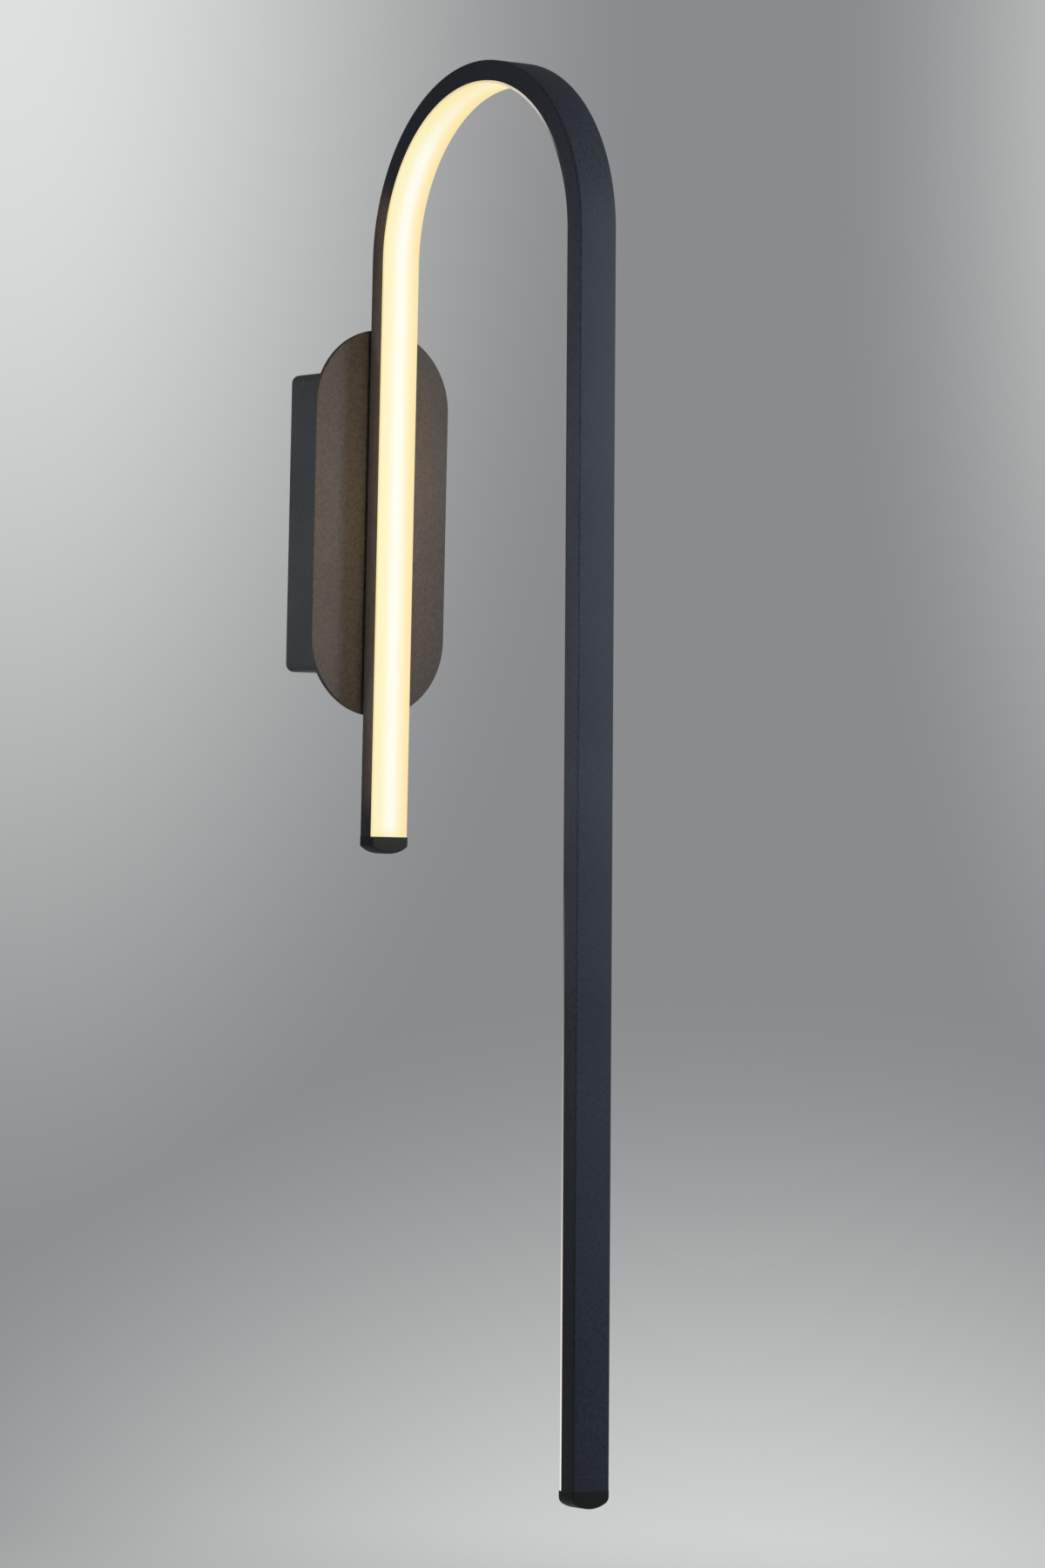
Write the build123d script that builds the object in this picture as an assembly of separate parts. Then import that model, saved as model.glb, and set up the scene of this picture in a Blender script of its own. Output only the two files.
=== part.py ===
from build123d import *
import math
import os

# A hook-shaped LED wall light, in millimetres, +Z up. The wall is the plane Y = 0 and the light stands
# out from it towards -Y. The origin is on the wall, midway between the two wall screws. The light
# channel is bent in the plane X = 0, with its open, lit side on the inside of the bend.

# Light channel: an aluminium U section, bent once
CHANNEL_W = 20.0
CHANNEL_D = 9.5
CHANNEL_WALL = 1.5
CHANNEL_FLOOR = 2.0
CHANNEL_EDGE = 0.8  # bevel of its two outer edges
BEND_R = 87.0  # to the outer face
BEND_DEG = 178.5  # short of a half turn, so the long leg stands a little away from the wall
BEND_Z = 124.0  # height of the bend's centre
SHORT_LEG = 274.0  # straight lengths, without the end caps
LONG_LEG = 568.0
RIDGE = 0.5  # snap ridge on the inside of each wall
RIDGE_H = 0.8
RIDGE_DEPTH = 1.8  # from the wall's edge down to the ridge

# Opal lens, snapped into the channel
LENS_T = 1.2
LENS_EDGE = 0.6
LENS_LEG = 1.0
BARB_H = 1.0
LENS_SEAT = 0.1  # between the lens and the edges of the channel's walls
SNAP_GAP = 0.2

# End caps
CAP_H = 8.0  # at the middle of the rounded end
CAP_SIDE = 4.5  # at its sides
CAP_PROUD = 2.2  # past the edges of the channel's walls, to cover the end of the lens
CAP_EDGE = 0.6
SHORT_CAP_CORNER = 1.0
LONG_CAP_CORNER = 3.5
PLUG_L = 8.0
PLUG_GAP = 0.2

# LED strip on the channel's floor
STRIP_W = 10.0
STRIP_T = 0.5
STRIP_BED = 0.05  # adhesive under the strip, and solder under each chip
STRIP_END_GAP = 2.0  # from a cap's plug
CHIP_W = 3.5
CHIP_L = 2.8
CHIP_H = 0.8
CHIP_PITCH = 16.6

# Wall box: a pressed steel pan, open to the front
PAN_W = 55.0
PAN_H = 143.0
PAN_D = 39.0
PAN_T = 1.2
PAN_CORNER = 4.0
PAN_BACK_EDGE = 3.0
WALL_SLOT_INSET = 16.5  # from the pan's end to the middle of a wall slot
WALL_SLOT_W = 5.0
WALL_SLOT_L = 9.0
CABLE_HOLE_R = 6.0
CABLE_HOLE_X = 15.5

# Front plate, and the bracket that holds it on the pan
PLATE_W = 75.0
PLATE_H = 185.0
PLATE_T = 2.0
PLATE_EDGE = 0.5
BRACKET_W = 30.0
BRACKET_T = 1.5
BRACKET_BEND = 1.5
BRACKET_FLANGE = 14.0
BRACKET_GAP = 0.3  # from a flange to the pan's wall
COVER_SCREW_INSET = 8.0  # from the pan's open rim
STANDOFF = 3.0  # gap between the plate and the short leg
CHANNEL_SCREW_PITCH = 92.0

# M3 fasteners
PIN_SIDES = 12  # facets of small round bars and bores inside the light
SCREW_R = 1.5
SCREW_HOLE_R = 1.7
THREAD_GAP = 0.05
CSK_HEAD_R = 2.9
CSK_HEAD_H = 1.5
PAN_HEAD_R = 2.9
PAN_HEAD_H = 1.8
PAN_HEAD_EDGE = 0.5
RECESS_ACROSS = 2.0
RECESS_H = 0.9
NUT_ACROSS = 5.5
NUT_H = 2.4
WASHER_R = 3.4
WASHER_T = 0.5
SPACER_R = 4.5
SCREW_TIP = 1.0  # thread that shows past a nut

# Cable grommet, flush with the pan's back
GROMMET_BORE_R = 4.0
GROMMET_FLANGE_R = 8.0
GROMMET_FLANGE_T = 2.0
GROMMET_GAP = 0.05

# LED driver, which fills the lower part of the box
DRIVER_SIDE_ROOM = 8.3
DRIVER_LEAD_ROOM = 16.3  # between the driver and the bracket
DRIVER_SLOT_ROOM = 7.0  # from the lower wall slot's middle to the lower ear
DRIVER_WALL = 1.8
DRIVER_CORNER = 2.0
DRIVER_LID_T = 2.0
LID_LIP = 1.2
LID_GAP = 0.2
EAR_L = 7.0
EAR_W = 7.0
EAR_T = 2.0
BOARD_T = 1.6
BOARD_GAP = 0.3
POST_W = 4.0
POST_H = 3.0
TRANSFORMER_W = 15.0
TRANSFORMER_L = 17.0
TRANSFORMER_H = 9.0
CAPACITOR_R = 4.0
CAPACITOR_H = 8.0

# Three-pole terminal block
POLE_PITCH = 9.0
POLE_W = 7.6
POLE_EDGE = 1.0
BLOCK_L = 16.0
BLOCK_H = 13.0
BLOCK_BASE = 4.0
BLOCK_EAR = 7.5
BLOCK_BELOW_SLOT = 17.0  # from the upper wall slot's middle to the block's middle
BLOCK_ROOM = 10.0  # from the block down to the driver
INSERT_W = 4.2
INSERT_BORE_R = 1.3
INSERT_L = 14.0
INSERT_GAP = 0.05
INSERT_LEVEL = 5.5  # above the pan's floor
CLAMP_SCREW_R = 1.2
CLAMP_SCREW_L = 5.0
CLAMP_PITCH = 7.0

# Earth tag, leads and sleeve
EARTH_X = 20.0
EARTH_BELOW_BLOCK = 3.0
TAG_R = 3.5
TAG_T = 0.8
TAG_NECK_W = 2.6
TAG_NECK_L = 0.5
TAG_BARREL_R = 1.5
TAG_BARREL_L = 5.0
MAINS_LEAD_R = 0.9
MAINS_LEAD_BEND = 2.5
LED_LEAD_R = 0.6
LED_LEAD_BEND = 3.0
FLOOR_LEAD_BEND = 1.8  # where the LED leads turn down on the channel's floor
PAD_LEAD_BEND = 1.5
LEAD_SIDES = 6
LEAD_GAP = 0.04
LEAD_GRIP = 4.0  # length of a lead inside what holds its end
LEAD_DROP = 9.0  # loop of the LED leads below the driver
LEAD_FRONT_ROOM = 6.5  # from the bracket to the LED leads
SLEEVE_T = 0.3
SLEEVE_FLANGE = 1.0
SLEEVE_GAP = 0.1
SOLDER_R = 0.9
SOLDER_TOP_R = 0.5
SOLDER_H = 0.9
SOLDER_X = 3.0
SOLDER_PITCH = 9.5
SOLDER_INSET = 2.5  # from the strip's end

# Levels and places that the sizes above settle
PAN_FLOOR_Y = -PAN_T
PLATE_BACK_Y = -PAN_D
PLATE_FRONT_Y = PLATE_BACK_Y - PLATE_T
LEG_Y = PLATE_FRONT_Y - STANDOFF  # outer face of the short leg
FLOOR_Y = LEG_Y - CHANNEL_FLOOR  # the short leg's floor, on its inside
WEB_Y = PLATE_BACK_Y + BRACKET_T  # the bracket's face inside the box
BEND_Y = LEG_Y - BEND_R
BEND_L = BEND_R * math.radians(BEND_DEG)
CHANNEL_L = SHORT_LEG + BEND_L + LONG_LEG
SHORT_END_Z = BEND_Z - SHORT_LEG
CAVITY_W = CHANNEL_W - 2 * CHANNEL_WALL
SNAP_LEG_TIP = CHANNEL_D - RIDGE_DEPTH - RIDGE_H - SNAP_GAP - BARB_H  # depth of the lens legs' tips
STRIP_BACK = CHANNEL_FLOOR + STRIP_BED
STRIP_FRONT = STRIP_BACK + STRIP_T
STRIP_START = PLUG_L + STRIP_END_GAP
WALL_SLOT_Z = PAN_H / 2 - WALL_SLOT_INSET
CHANNEL_SCREWS_Z = (-CHANNEL_SCREW_PITCH / 2, CHANNEL_SCREW_PITCH / 2)
PAN_INNER_BEVEL = (PAN_BACK_EDGE - PAN_T) * (2 - math.sqrt(2))  # keeps the wall even round the back edge
COVER_SCREW_Y = COVER_SCREW_INSET - PAN_D
BLOCK_Z = WALL_SLOT_Z - BLOCK_BELOW_SLOT
BLOCK_BOTTOM = BLOCK_Z - BLOCK_L / 2
BLOCK_EAR_X = -POLE_PITCH - POLE_W / 2 - BLOCK_EAR / 2
POLES_X = (-POLE_PITCH, 0.0, POLE_PITCH)
INSERT_Y = PAN_FLOOR_Y - INSERT_LEVEL
EARTH_Z = BLOCK_Z - EARTH_BELOW_BLOCK
TAG_BARREL_TOP = EARTH_Z - TAG_R - TAG_NECK_L
TAG_BARREL_Y = PAN_FLOOR_Y - TAG_BARREL_R
DRIVER_TOP = BLOCK_BOTTOM - BLOCK_ROOM
DRIVER_BOTTOM = EAR_L + DRIVER_SLOT_ROOM - WALL_SLOT_Z
DRIVER_L = DRIVER_TOP - DRIVER_BOTTOM
DRIVER_Z = (DRIVER_TOP + DRIVER_BOTTOM) / 2
DRIVER_W = PAN_W - 2 * PAN_T - 2 * DRIVER_SIDE_ROOM
DRIVER_H = PAN_D - PAN_T - BRACKET_T - DRIVER_LEAD_ROOM
CASE_RIM_Y = PAN_FLOOR_Y - DRIVER_H + DRIVER_LID_T
CASE_FLOOR_Y = PAN_FLOOR_Y - DRIVER_WALL
DRIVER_LEAD_Y = PAN_FLOOR_Y - DRIVER_H / 2
BOARD_Y = CASE_FLOOR_Y - POST_H
EAR_X = DRIVER_W / 2 - EAR_W / 2
DRIVER_EARS = ((-EAR_X, DRIVER_TOP + EAR_L / 2), (EAR_X, DRIVER_BOTTOM - EAR_L / 2))
LEAD_X = (STRIP_W + CAVITY_W) / 4  # on the channel's floor, beside the strip
LEAD_PITCH = 2 * LED_LEAD_R + LEAD_GAP
PAIR_R = LEAD_PITCH / 2 + LED_LEAD_R + LEAD_GAP  # round hole that takes both LED leads
SLEEVE_R = PAIR_R + SLEEVE_T
SLEEVE_HOLE_R = SLEEVE_R + SLEEVE_GAP
PAD_LEAD_Y = LEG_Y - STRIP_FRONT - LEAD_GAP - LED_LEAD_R  # a lead that lies on the strip
LOWER_PAD_Z = SHORT_END_Z + STRIP_START + SOLDER_INSET
UPPER_PAD_Z = LOWER_PAD_Z + SOLDER_PITCH


def rod(x, z, radius, y0, y1):
    """Round bar along Y."""
    return Pos(x, (y0 + y1) / 2, z) * Rot(90, 0, 0) * Cylinder(radius, abs(y1 - y0))


def bar_z(x, y, radius, z0, z1):
    """Round bar along Z."""
    return Pos(x, y, (z0 + z1) / 2) * Cylinder(radius, abs(z1 - z0))


def block(x, z, width, height, y0, y1):
    """Rectangular block between two Y levels."""
    return Pos(x, (y0 + y1) / 2, z) * Box(width, abs(y1 - y0), height)


def forward(sketch, x, z, y0, y1):
    """Raise a sketch of X and Z from y0 towards -Y."""
    return extrude(Plane.XZ.offset(-y0) * Pos(x, z) * sketch, y0 - y1)


def upward(sketch, x, y, z0, z1):
    """Raise a sketch of X and Y from z0 to z1."""
    return Pos(x, y, z0) * extrude(sketch, z1 - z0)


def pin(radius):
    """Outline of a small round bar: a polygon inside its circle."""
    return RegularPolygon(radius, PIN_SIDES)


def bore(radius):
    """Outline of a small round hole: a polygon outside its circle."""
    return RegularPolygon(radius, PIN_SIDES, major_radius=False)


def hexagon(across):
    """Hexagon of a width across its flats."""
    return RegularPolygon(across / 2, 6, major_radius=False)


def nut(x, z, y0):
    """Hexagon nut on the face at y0."""
    return forward(hexagon(NUT_ACROSS) - bore(SCREW_R + THREAD_GAP), x, z, y0, y0 - NUT_H)


def lead(points, radius, bends):
    """Insulated wire: straight runs joined by tangent arcs."""
    path = FilletPolyline(*points, radius=bends)
    section = Plane(path @ 0, z_dir=path % 0) * RegularPolygon(radius, LEAD_SIDES)
    wire = sweep(section, path=path)
    print(f"lead bends {bends}, volume {wire.volume:.2f} of {section.area * path.length:.2f}")
    return wire


def channel_frame(distance):
    """Place on the channel's outer face: X across, Y outwards, Z along the channel."""
    if distance < SHORT_LEG:
        return Pos(0, LEG_Y, SHORT_END_Z + distance)
    turned = min(math.degrees((distance - SHORT_LEG) / BEND_R), BEND_DEG)
    straight = max(distance - SHORT_LEG - BEND_L, 0.0)
    return Pos(0, BEND_Y, BEND_Z) * Rot(turned, 0, 0) * Pos(0, BEND_R, straight)


def along_channel(section, inset=0.0):
    """Sweep a section along the channel, short of both its ends. Depth is -Y in the section."""
    short_leg = Line((LEG_Y, SHORT_END_Z + inset), (LEG_Y, BEND_Z))
    bend = CenterArc((BEND_Y, BEND_Z), BEND_R, 0, BEND_DEG)
    long_leg = Line(bend @ 1, bend @ 1 + (bend % 1) * (LONG_LEG - inset))
    path = Plane.YZ * (short_leg + bend + long_leg)
    return sweep(channel_frame(inset) * section, path=path)


def taper(outline, foot_radius, top_radius, height, x, z, y0):
    """Small cone from y0 towards -Y, of either small outline."""
    sections = [outline(foot_radius), Pos(0, 0, height) * outline(top_radius)]
    return Pos(x, y0, z) * Rot(90, 0, 0) * loft(sections, ruled=True)


def channel_screw(outline, z, gap, tip_y):
    """Countersunk screw in the channel's floor or, as a bore with a gap, the hole that takes it."""
    head = taper(outline, SCREW_R + gap, CSK_HEAD_R + gap, CSK_HEAD_H, 0, z, FLOOR_Y + CSK_HEAD_H)
    return head + forward(outline(SCREW_R + gap), 0, z, tip_y, FLOOR_Y)


def light_channel():
    """Bent U section with snap ridges, and with its screw holes and lead hole in the short leg."""
    outer = Rectangle(CHANNEL_W, CHANNEL_D, align=(Align.CENTER, Align.MAX))
    outer = chamfer(outer.vertices().group_by(Axis.Y)[-1], CHANNEL_EDGE)
    cavity = Rectangle(CAVITY_W, CHANNEL_D - CHANNEL_FLOOR, align=(Align.CENTER, Align.MAX))
    section = outer - Pos(0, -CHANNEL_FLOOR) * cavity
    ridge = Rectangle(2 * RIDGE, RIDGE_H, align=(Align.CENTER, Align.MIN))
    for side in (-1, 1):
        section += Pos(side * CAVITY_W / 2, RIDGE_DEPTH - CHANNEL_D) * ridge
    body = along_channel(section)
    for z in CHANNEL_SCREWS_Z:
        body -= channel_screw(bore, z, SCREW_HOLE_R - SCREW_R, LEG_Y)
    return body - forward(bore(SLEEVE_HOLE_R), LEAD_X, 0, LEG_Y, FLOOR_Y)


def light_diffuser():
    """Opal lens: a lid over the channel's whole width, with two barbed legs that snap in."""
    lid_y = -CHANNEL_D - LENS_SEAT
    lid = Pos(0, lid_y) * Rectangle(CHANNEL_W, LENS_T, align=(Align.CENTER, Align.MAX))
    section = chamfer(lid.vertices().group_by(Axis.Y)[0], LENS_EDGE)
    leg_x = CAVITY_W / 2 - RIDGE - SNAP_GAP
    leg = Rectangle(LENS_LEG, -SNAP_LEG_TIP - lid_y, align=(Align.MAX, Align.MIN))
    barb = Rectangle(LENS_LEG + RIDGE, BARB_H, align=(Align.MAX, Align.MAX))
    right_leg = Pos(leg_x, lid_y) * leg + Pos(leg_x + RIDGE, -SNAP_LEG_TIP) * barb
    section += right_leg + mirror(right_leg, Plane.YZ)
    return along_channel(section)


def end_cap(corner):
    """Cap with a rounded end, X across, Y outwards and Z off the channel's end, and its plug."""
    half = CHANNEL_W / 2
    rounded_end = ThreePointArc((half, CAP_SIDE), (0, CAP_H), (-half, CAP_SIDE))
    sides = Polyline((-half, CAP_SIDE), (-half, 0), (half, 0), (half, CAP_SIDE))
    outline = make_face([rounded_end, sides])
    outline = fillet(outline.vertices().group_by(Axis.Y)[-1], corner)
    body = forward(outline, 0, 0, 0, -CHANNEL_D - CAP_PROUD)
    rims = [face.edges().filter_by(lambda edge: edge.center().Z > CAP_SIDE / 4)
            for face in (body.faces().sort_by(Axis.Y)[0], body.faces().sort_by(Axis.Y)[-1])]
    body = chamfer(rims[0] + rims[1], CAP_EDGE)
    plug_depths = (-CHANNEL_FLOOR - PLUG_GAP, PLUG_GAP - SNAP_LEG_TIP)
    return body + block(0, -PLUG_L / 2, CAVITY_W - 2 * PLUG_GAP, PLUG_L, *plug_depths)


def short_leg_cap():
    """Cap under the short leg."""
    return channel_frame(0) * Rot(0, 180, 0) * end_cap(SHORT_CAP_CORNER)


def long_leg_cap():
    """Cap under the long leg."""
    return channel_frame(CHANNEL_L) * end_cap(LONG_CAP_CORNER)


def led_strip():
    """Flexible board, stuck along the channel's floor."""
    section = Pos(0, -STRIP_BACK) * Rectangle(STRIP_W, STRIP_T, align=(Align.CENTER, Align.MAX))
    return along_channel(section, STRIP_START)


def led_chips():
    """Row of LED packages along the strip."""
    lit_length = CHANNEL_L - 2 * STRIP_START - CHIP_L
    count = int(lit_length // CHIP_PITCH) + 1
    first = STRIP_START + CHIP_L / 2 + (lit_length - (count - 1) * CHIP_PITCH) / 2
    chip = Pos(0, -STRIP_FRONT - STRIP_BED - CHIP_H / 2) * Box(CHIP_W, CHIP_H, CHIP_L)
    return Compound([channel_frame(first + i * CHIP_PITCH) * chip for i in range(count)])


def solder_joints():
    """Two mounds of solder on the strip's first pads."""
    return Compound([taper(pin, SOLDER_R, SOLDER_TOP_R, SOLDER_H, SOLDER_X, z, LEG_Y - STRIP_FRONT)
                     for z in (LOWER_PAD_Z, UPPER_PAD_Z)])


def stud(x, z, clamped):
    """Welded stud on the pan's floor, long enough for what it clamps and a nut."""
    return forward(pin(SCREW_R), x, z, PAN_FLOOR_Y, PAN_FLOOR_Y - clamped - NUT_H - SCREW_TIP)


def back_pan():
    """Wall box with wall slots, cable hole, cover screw holes and welded studs."""
    outer = RectangleRounded(PAN_W, PAN_H, PAN_CORNER)
    body = forward(outer, 0, 0, 0, -PAN_D)
    body = fillet(body.faces().sort_by(Axis.Y)[-1].edges(), PAN_BACK_EDGE)
    inner = RectangleRounded(PAN_W - 2 * PAN_T, PAN_H - 2 * PAN_T, PAN_CORNER - PAN_T)
    hollow = forward(inner, 0, 0, PAN_FLOOR_Y, -PAN_D)
    body -= chamfer(hollow.faces().sort_by(Axis.Y)[-1].edges(), PAN_INNER_BEVEL)
    for z in (-WALL_SLOT_Z, WALL_SLOT_Z):
        body -= forward(SlotOverall(WALL_SLOT_L, WALL_SLOT_W, rotation=90), 0, z, 0, PAN_FLOOR_Y)
    body -= rod(CABLE_HOLE_X, WALL_SLOT_Z, CABLE_HOLE_R, 0, PAN_FLOOR_Y)
    body -= bar_z(0, COVER_SCREW_Y, SCREW_HOLE_R, -PAN_H / 2, PAN_H / 2)
    for x, z in DRIVER_EARS:
        body += stud(x, z, EAR_T)
    body += stud(BLOCK_EAR_X, BLOCK_Z, BLOCK_BASE)
    return body + stud(EARTH_X, EARTH_Z, TAG_T + WASHER_T)


def cable_grommet():
    """Bush in the cable hole, with its flange inside the box."""
    flange_y = PAN_FLOOR_Y - GROMMET_FLANGE_T
    neck = rod(CABLE_HOLE_X, WALL_SLOT_Z, CABLE_HOLE_R - GROMMET_GAP, 0, PAN_FLOOR_Y)
    flange = rod(CABLE_HOLE_X, WALL_SLOT_Z, GROMMET_FLANGE_R, PAN_FLOOR_Y, flange_y)
    return neck + flange - rod(CABLE_HOLE_X, WALL_SLOT_Z, GROMMET_BORE_R, 0, flange_y)


def front_plate():
    """Obround plate with two screw holes and the sleeve's hole."""
    body = forward(SlotOverall(PLATE_H, PLATE_W, rotation=90), 0, 0, PLATE_BACK_Y, PLATE_FRONT_Y)
    body = chamfer(body.faces().sort_by(Axis.Y)[0].edges(), PLATE_EDGE)
    for z in CHANNEL_SCREWS_Z:
        body -= forward(bore(SCREW_HOLE_R), 0, z, PLATE_BACK_Y, PLATE_FRONT_Y)
    return body - forward(bore(SLEEVE_HOLE_R), LEAD_X, 0, PLATE_BACK_Y, PLATE_FRONT_Y)


def cover_bracket():
    """Bent strip behind the plate, with a tapped flange inside each end of the pan."""
    height = PAN_H - 2 * PAN_T - 2 * BRACKET_GAP
    outer = Rectangle(BRACKET_FLANGE, height, align=(Align.MIN, Align.CENTER))
    outer = fillet(outer.vertices().group_by(Axis.X)[0], BRACKET_BEND + BRACKET_T)
    inner = Rectangle(BRACKET_FLANGE, height - 2 * BRACKET_T, align=(Align.MIN, Align.CENTER))
    inner = fillet(inner.vertices().group_by(Axis.X)[0], BRACKET_BEND)
    section = Pos(PLATE_BACK_Y, 0) * outer - Pos(WEB_Y, 0) * inner
    body = extrude(Plane.YZ * section, BRACKET_W / 2, both=True)
    for z in CHANNEL_SCREWS_Z:
        body -= forward(bore(SCREW_HOLE_R), 0, z, WEB_Y, PLATE_BACK_Y)
    body -= forward(bore(SLEEVE_HOLE_R), LEAD_X, 0, WEB_Y, PLATE_BACK_Y)
    return body - upward(bore(SCREW_R + THREAD_GAP), 0, COVER_SCREW_Y, -height / 2, height / 2)


def cover_screws():
    """Pan-head screws through the pan's top and bottom into the bracket's flanges."""
    tip = PAN_H / 2 - PAN_T - BRACKET_GAP - BRACKET_T - SCREW_TIP
    top = PAN_H / 2 + PAN_HEAD_H
    head = bar_z(0, COVER_SCREW_Y, PAN_HEAD_R, PAN_H / 2, top)
    head = chamfer(head.edges().sort_by(Axis.Z)[-1], PAN_HEAD_EDGE)
    recess = upward(hexagon(RECESS_ACROSS), 0, COVER_SCREW_Y, top - RECESS_H, top)
    upper = head + upward(pin(SCREW_R), 0, COVER_SCREW_Y, tip, PAN_H / 2) - recess
    return Compound([upper, mirror(upper, Plane.XY)])


def channel_screws():
    """Countersunk screws that clamp channel, spacers, plate and bracket together."""
    tip_y = WEB_Y + WASHER_T + NUT_H + SCREW_TIP
    socket = hexagon(RECESS_ACROSS)
    return Compound([channel_screw(pin, z, 0, tip_y) - forward(socket, 0, z, FLOOR_Y + RECESS_H, FLOOR_Y)
                     for z in CHANNEL_SCREWS_Z])


def standoff_spacers():
    """Collars between the plate and the short leg."""
    section = Circle(SPACER_R) - bore(SCREW_HOLE_R)
    return Compound([forward(section, 0, z, PLATE_FRONT_Y, LEG_Y) for z in CHANNEL_SCREWS_Z])


def washer(x, z, y0):
    """Washer on the face at y0."""
    return forward(pin(WASHER_R) - bore(SCREW_HOLE_R), x, z, y0, y0 - WASHER_T)


def channel_washers():
    """Washers behind the bracket."""
    return Compound([washer(0, z, WEB_Y + WASHER_T) for z in CHANNEL_SCREWS_Z])


def channel_nuts():
    """Nuts behind the washers."""
    return Compound([nut(0, z, WEB_Y + WASHER_T + NUT_H) for z in CHANNEL_SCREWS_Z])


def lead_sleeve():
    """Insulating tube for the LED leads, from the box into the channel."""
    flange_y = WEB_Y + SLEEVE_FLANGE
    flange = forward(pin(SLEEVE_R + SLEEVE_FLANGE), LEAD_X, 0, flange_y, WEB_Y)
    tube = forward(pin(SLEEVE_R), LEAD_X, 0, WEB_Y, FLOOR_Y)
    return flange + tube - forward(bore(PAIR_R), LEAD_X, 0, flange_y, FLOOR_Y)


def driver_case():
    """Driver's tray with two ears, corner posts for the board and lead holes in its end walls."""
    outline = RectangleRounded(DRIVER_W, DRIVER_L, DRIVER_CORNER)
    inner_w, inner_l = DRIVER_W - 2 * DRIVER_WALL, DRIVER_L - 2 * DRIVER_WALL
    body = forward(outline, 0, DRIVER_Z, PAN_FLOOR_Y, CASE_RIM_Y)
    body -= block(0, DRIVER_Z, inner_w, inner_l, CASE_FLOOR_Y, CASE_RIM_Y)
    for x in (-1, 1):
        for z in (-1, 1):
            post_x, post_z = x * (inner_w - POST_W) / 2, DRIVER_Z + z * (inner_l - POST_W) / 2
            body += block(post_x, post_z, POST_W, POST_W, CASE_FLOOR_Y, BOARD_Y)
    for x, z in DRIVER_EARS:
        body += block(x, z, EAR_W, EAR_L, PAN_FLOOR_Y, PAN_FLOOR_Y - EAR_T)
        body -= forward(bore(SCREW_HOLE_R), x, z, PAN_FLOOR_Y, PAN_FLOOR_Y - EAR_T)
    for x in POLES_X[:2]:
        body -= upward(bore(MAINS_LEAD_R + LEAD_GAP), x, DRIVER_LEAD_Y, DRIVER_TOP - DRIVER_WALL, DRIVER_TOP)
    return body - upward(bore(PAIR_R), LEAD_X, DRIVER_LEAD_Y, DRIVER_BOTTOM, DRIVER_BOTTOM + DRIVER_WALL)


def driver_lid():
    """Driver's lid, with a lip inside the tray."""
    lip_w, lip_l = DRIVER_W - 2 * (DRIVER_WALL + LID_GAP), DRIVER_L - 2 * (DRIVER_WALL + LID_GAP)
    outline = RectangleRounded(DRIVER_W, DRIVER_L, DRIVER_CORNER)
    lid = forward(outline, 0, DRIVER_Z, CASE_RIM_Y, CASE_RIM_Y - DRIVER_LID_T)
    lip_y = CASE_RIM_Y + LID_LIP
    lip = block(0, DRIVER_Z, lip_w, lip_l, lip_y, CASE_RIM_Y)
    return lid + lip - block(0, DRIVER_Z, lip_w - 2 * LID_LIP, lip_l - 2 * LID_LIP, lip_y, CASE_RIM_Y)


def driver_board():
    """Driver's board with its transformer and capacitor."""
    width, length = [size - 2 * (DRIVER_WALL + BOARD_GAP) for size in (DRIVER_W, DRIVER_L)]
    top_y = BOARD_Y - BOARD_T
    body = block(0, DRIVER_Z, width, length, BOARD_Y, top_y)
    body += block(0, DRIVER_Z, TRANSFORMER_W, TRANSFORMER_L, top_y, top_y - TRANSFORMER_H)
    capacitor_z = DRIVER_Z - TRANSFORMER_L / 2 - CAPACITOR_R - BOARD_GAP
    return body + rod(-CAPACITOR_R, capacitor_z, CAPACITOR_R, top_y, top_y - CAPACITOR_H)


def driver_nuts():
    """Nuts on the driver's studs."""
    return Compound([nut(x, z, PAN_FLOOR_Y - EAR_T) for x, z in DRIVER_EARS])


def clamp_places():
    """Middle of each clamp screw, as X and Z."""
    return [(x, BLOCK_Z + side * CLAMP_PITCH / 2) for x in POLES_X for side in (-1, 1)]


def terminal_block():
    """Three moulded barrels on a base with one ear."""
    right = POLE_PITCH + POLE_W / 2
    left = BLOCK_EAR_X - BLOCK_EAR / 2
    base_y, front_y = PAN_FLOOR_Y - BLOCK_BASE, PAN_FLOOR_Y - BLOCK_H
    body = block((left + right) / 2, BLOCK_Z, right - left, BLOCK_L, PAN_FLOOR_Y, base_y)
    for x in POLES_X:
        barrel = block(x, BLOCK_Z, POLE_W, BLOCK_L, PAN_FLOOR_Y, front_y)
        body += chamfer(barrel.faces().sort_by(Axis.Y)[0].edges(), POLE_EDGE)
    passage = INSERT_W + 2 * INSERT_GAP
    for x in POLES_X:
        body -= block(x, BLOCK_Z, passage, BLOCK_L, INSERT_Y + passage / 2, INSERT_Y - passage / 2)
    for x, z in clamp_places():
        body -= forward(bore(CLAMP_SCREW_R + THREAD_GAP), x, z, INSERT_Y, front_y)
    return body - forward(bore(SCREW_HOLE_R), BLOCK_EAR_X, BLOCK_Z, PAN_FLOOR_Y, base_y)


def terminal_inserts():
    """Bored brass bars inside the block, tapped for the clamp screws."""
    top_y = INSERT_Y - INSERT_W / 2
    inserts = []
    for x in POLES_X:
        bar = block(x, BLOCK_Z, INSERT_W, INSERT_L, INSERT_Y + INSERT_W / 2, top_y)
        bar -= upward(bore(INSERT_BORE_R), x, INSERT_Y, BLOCK_Z - INSERT_L / 2, BLOCK_Z + INSERT_L / 2)
        for side in (-1, 1):
            clamp_z = BLOCK_Z + side * CLAMP_PITCH / 2
            bar -= forward(bore(CLAMP_SCREW_R + THREAD_GAP), x, clamp_z, INSERT_Y, top_y)
        inserts.append(bar)
    return Compound(inserts)


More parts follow.
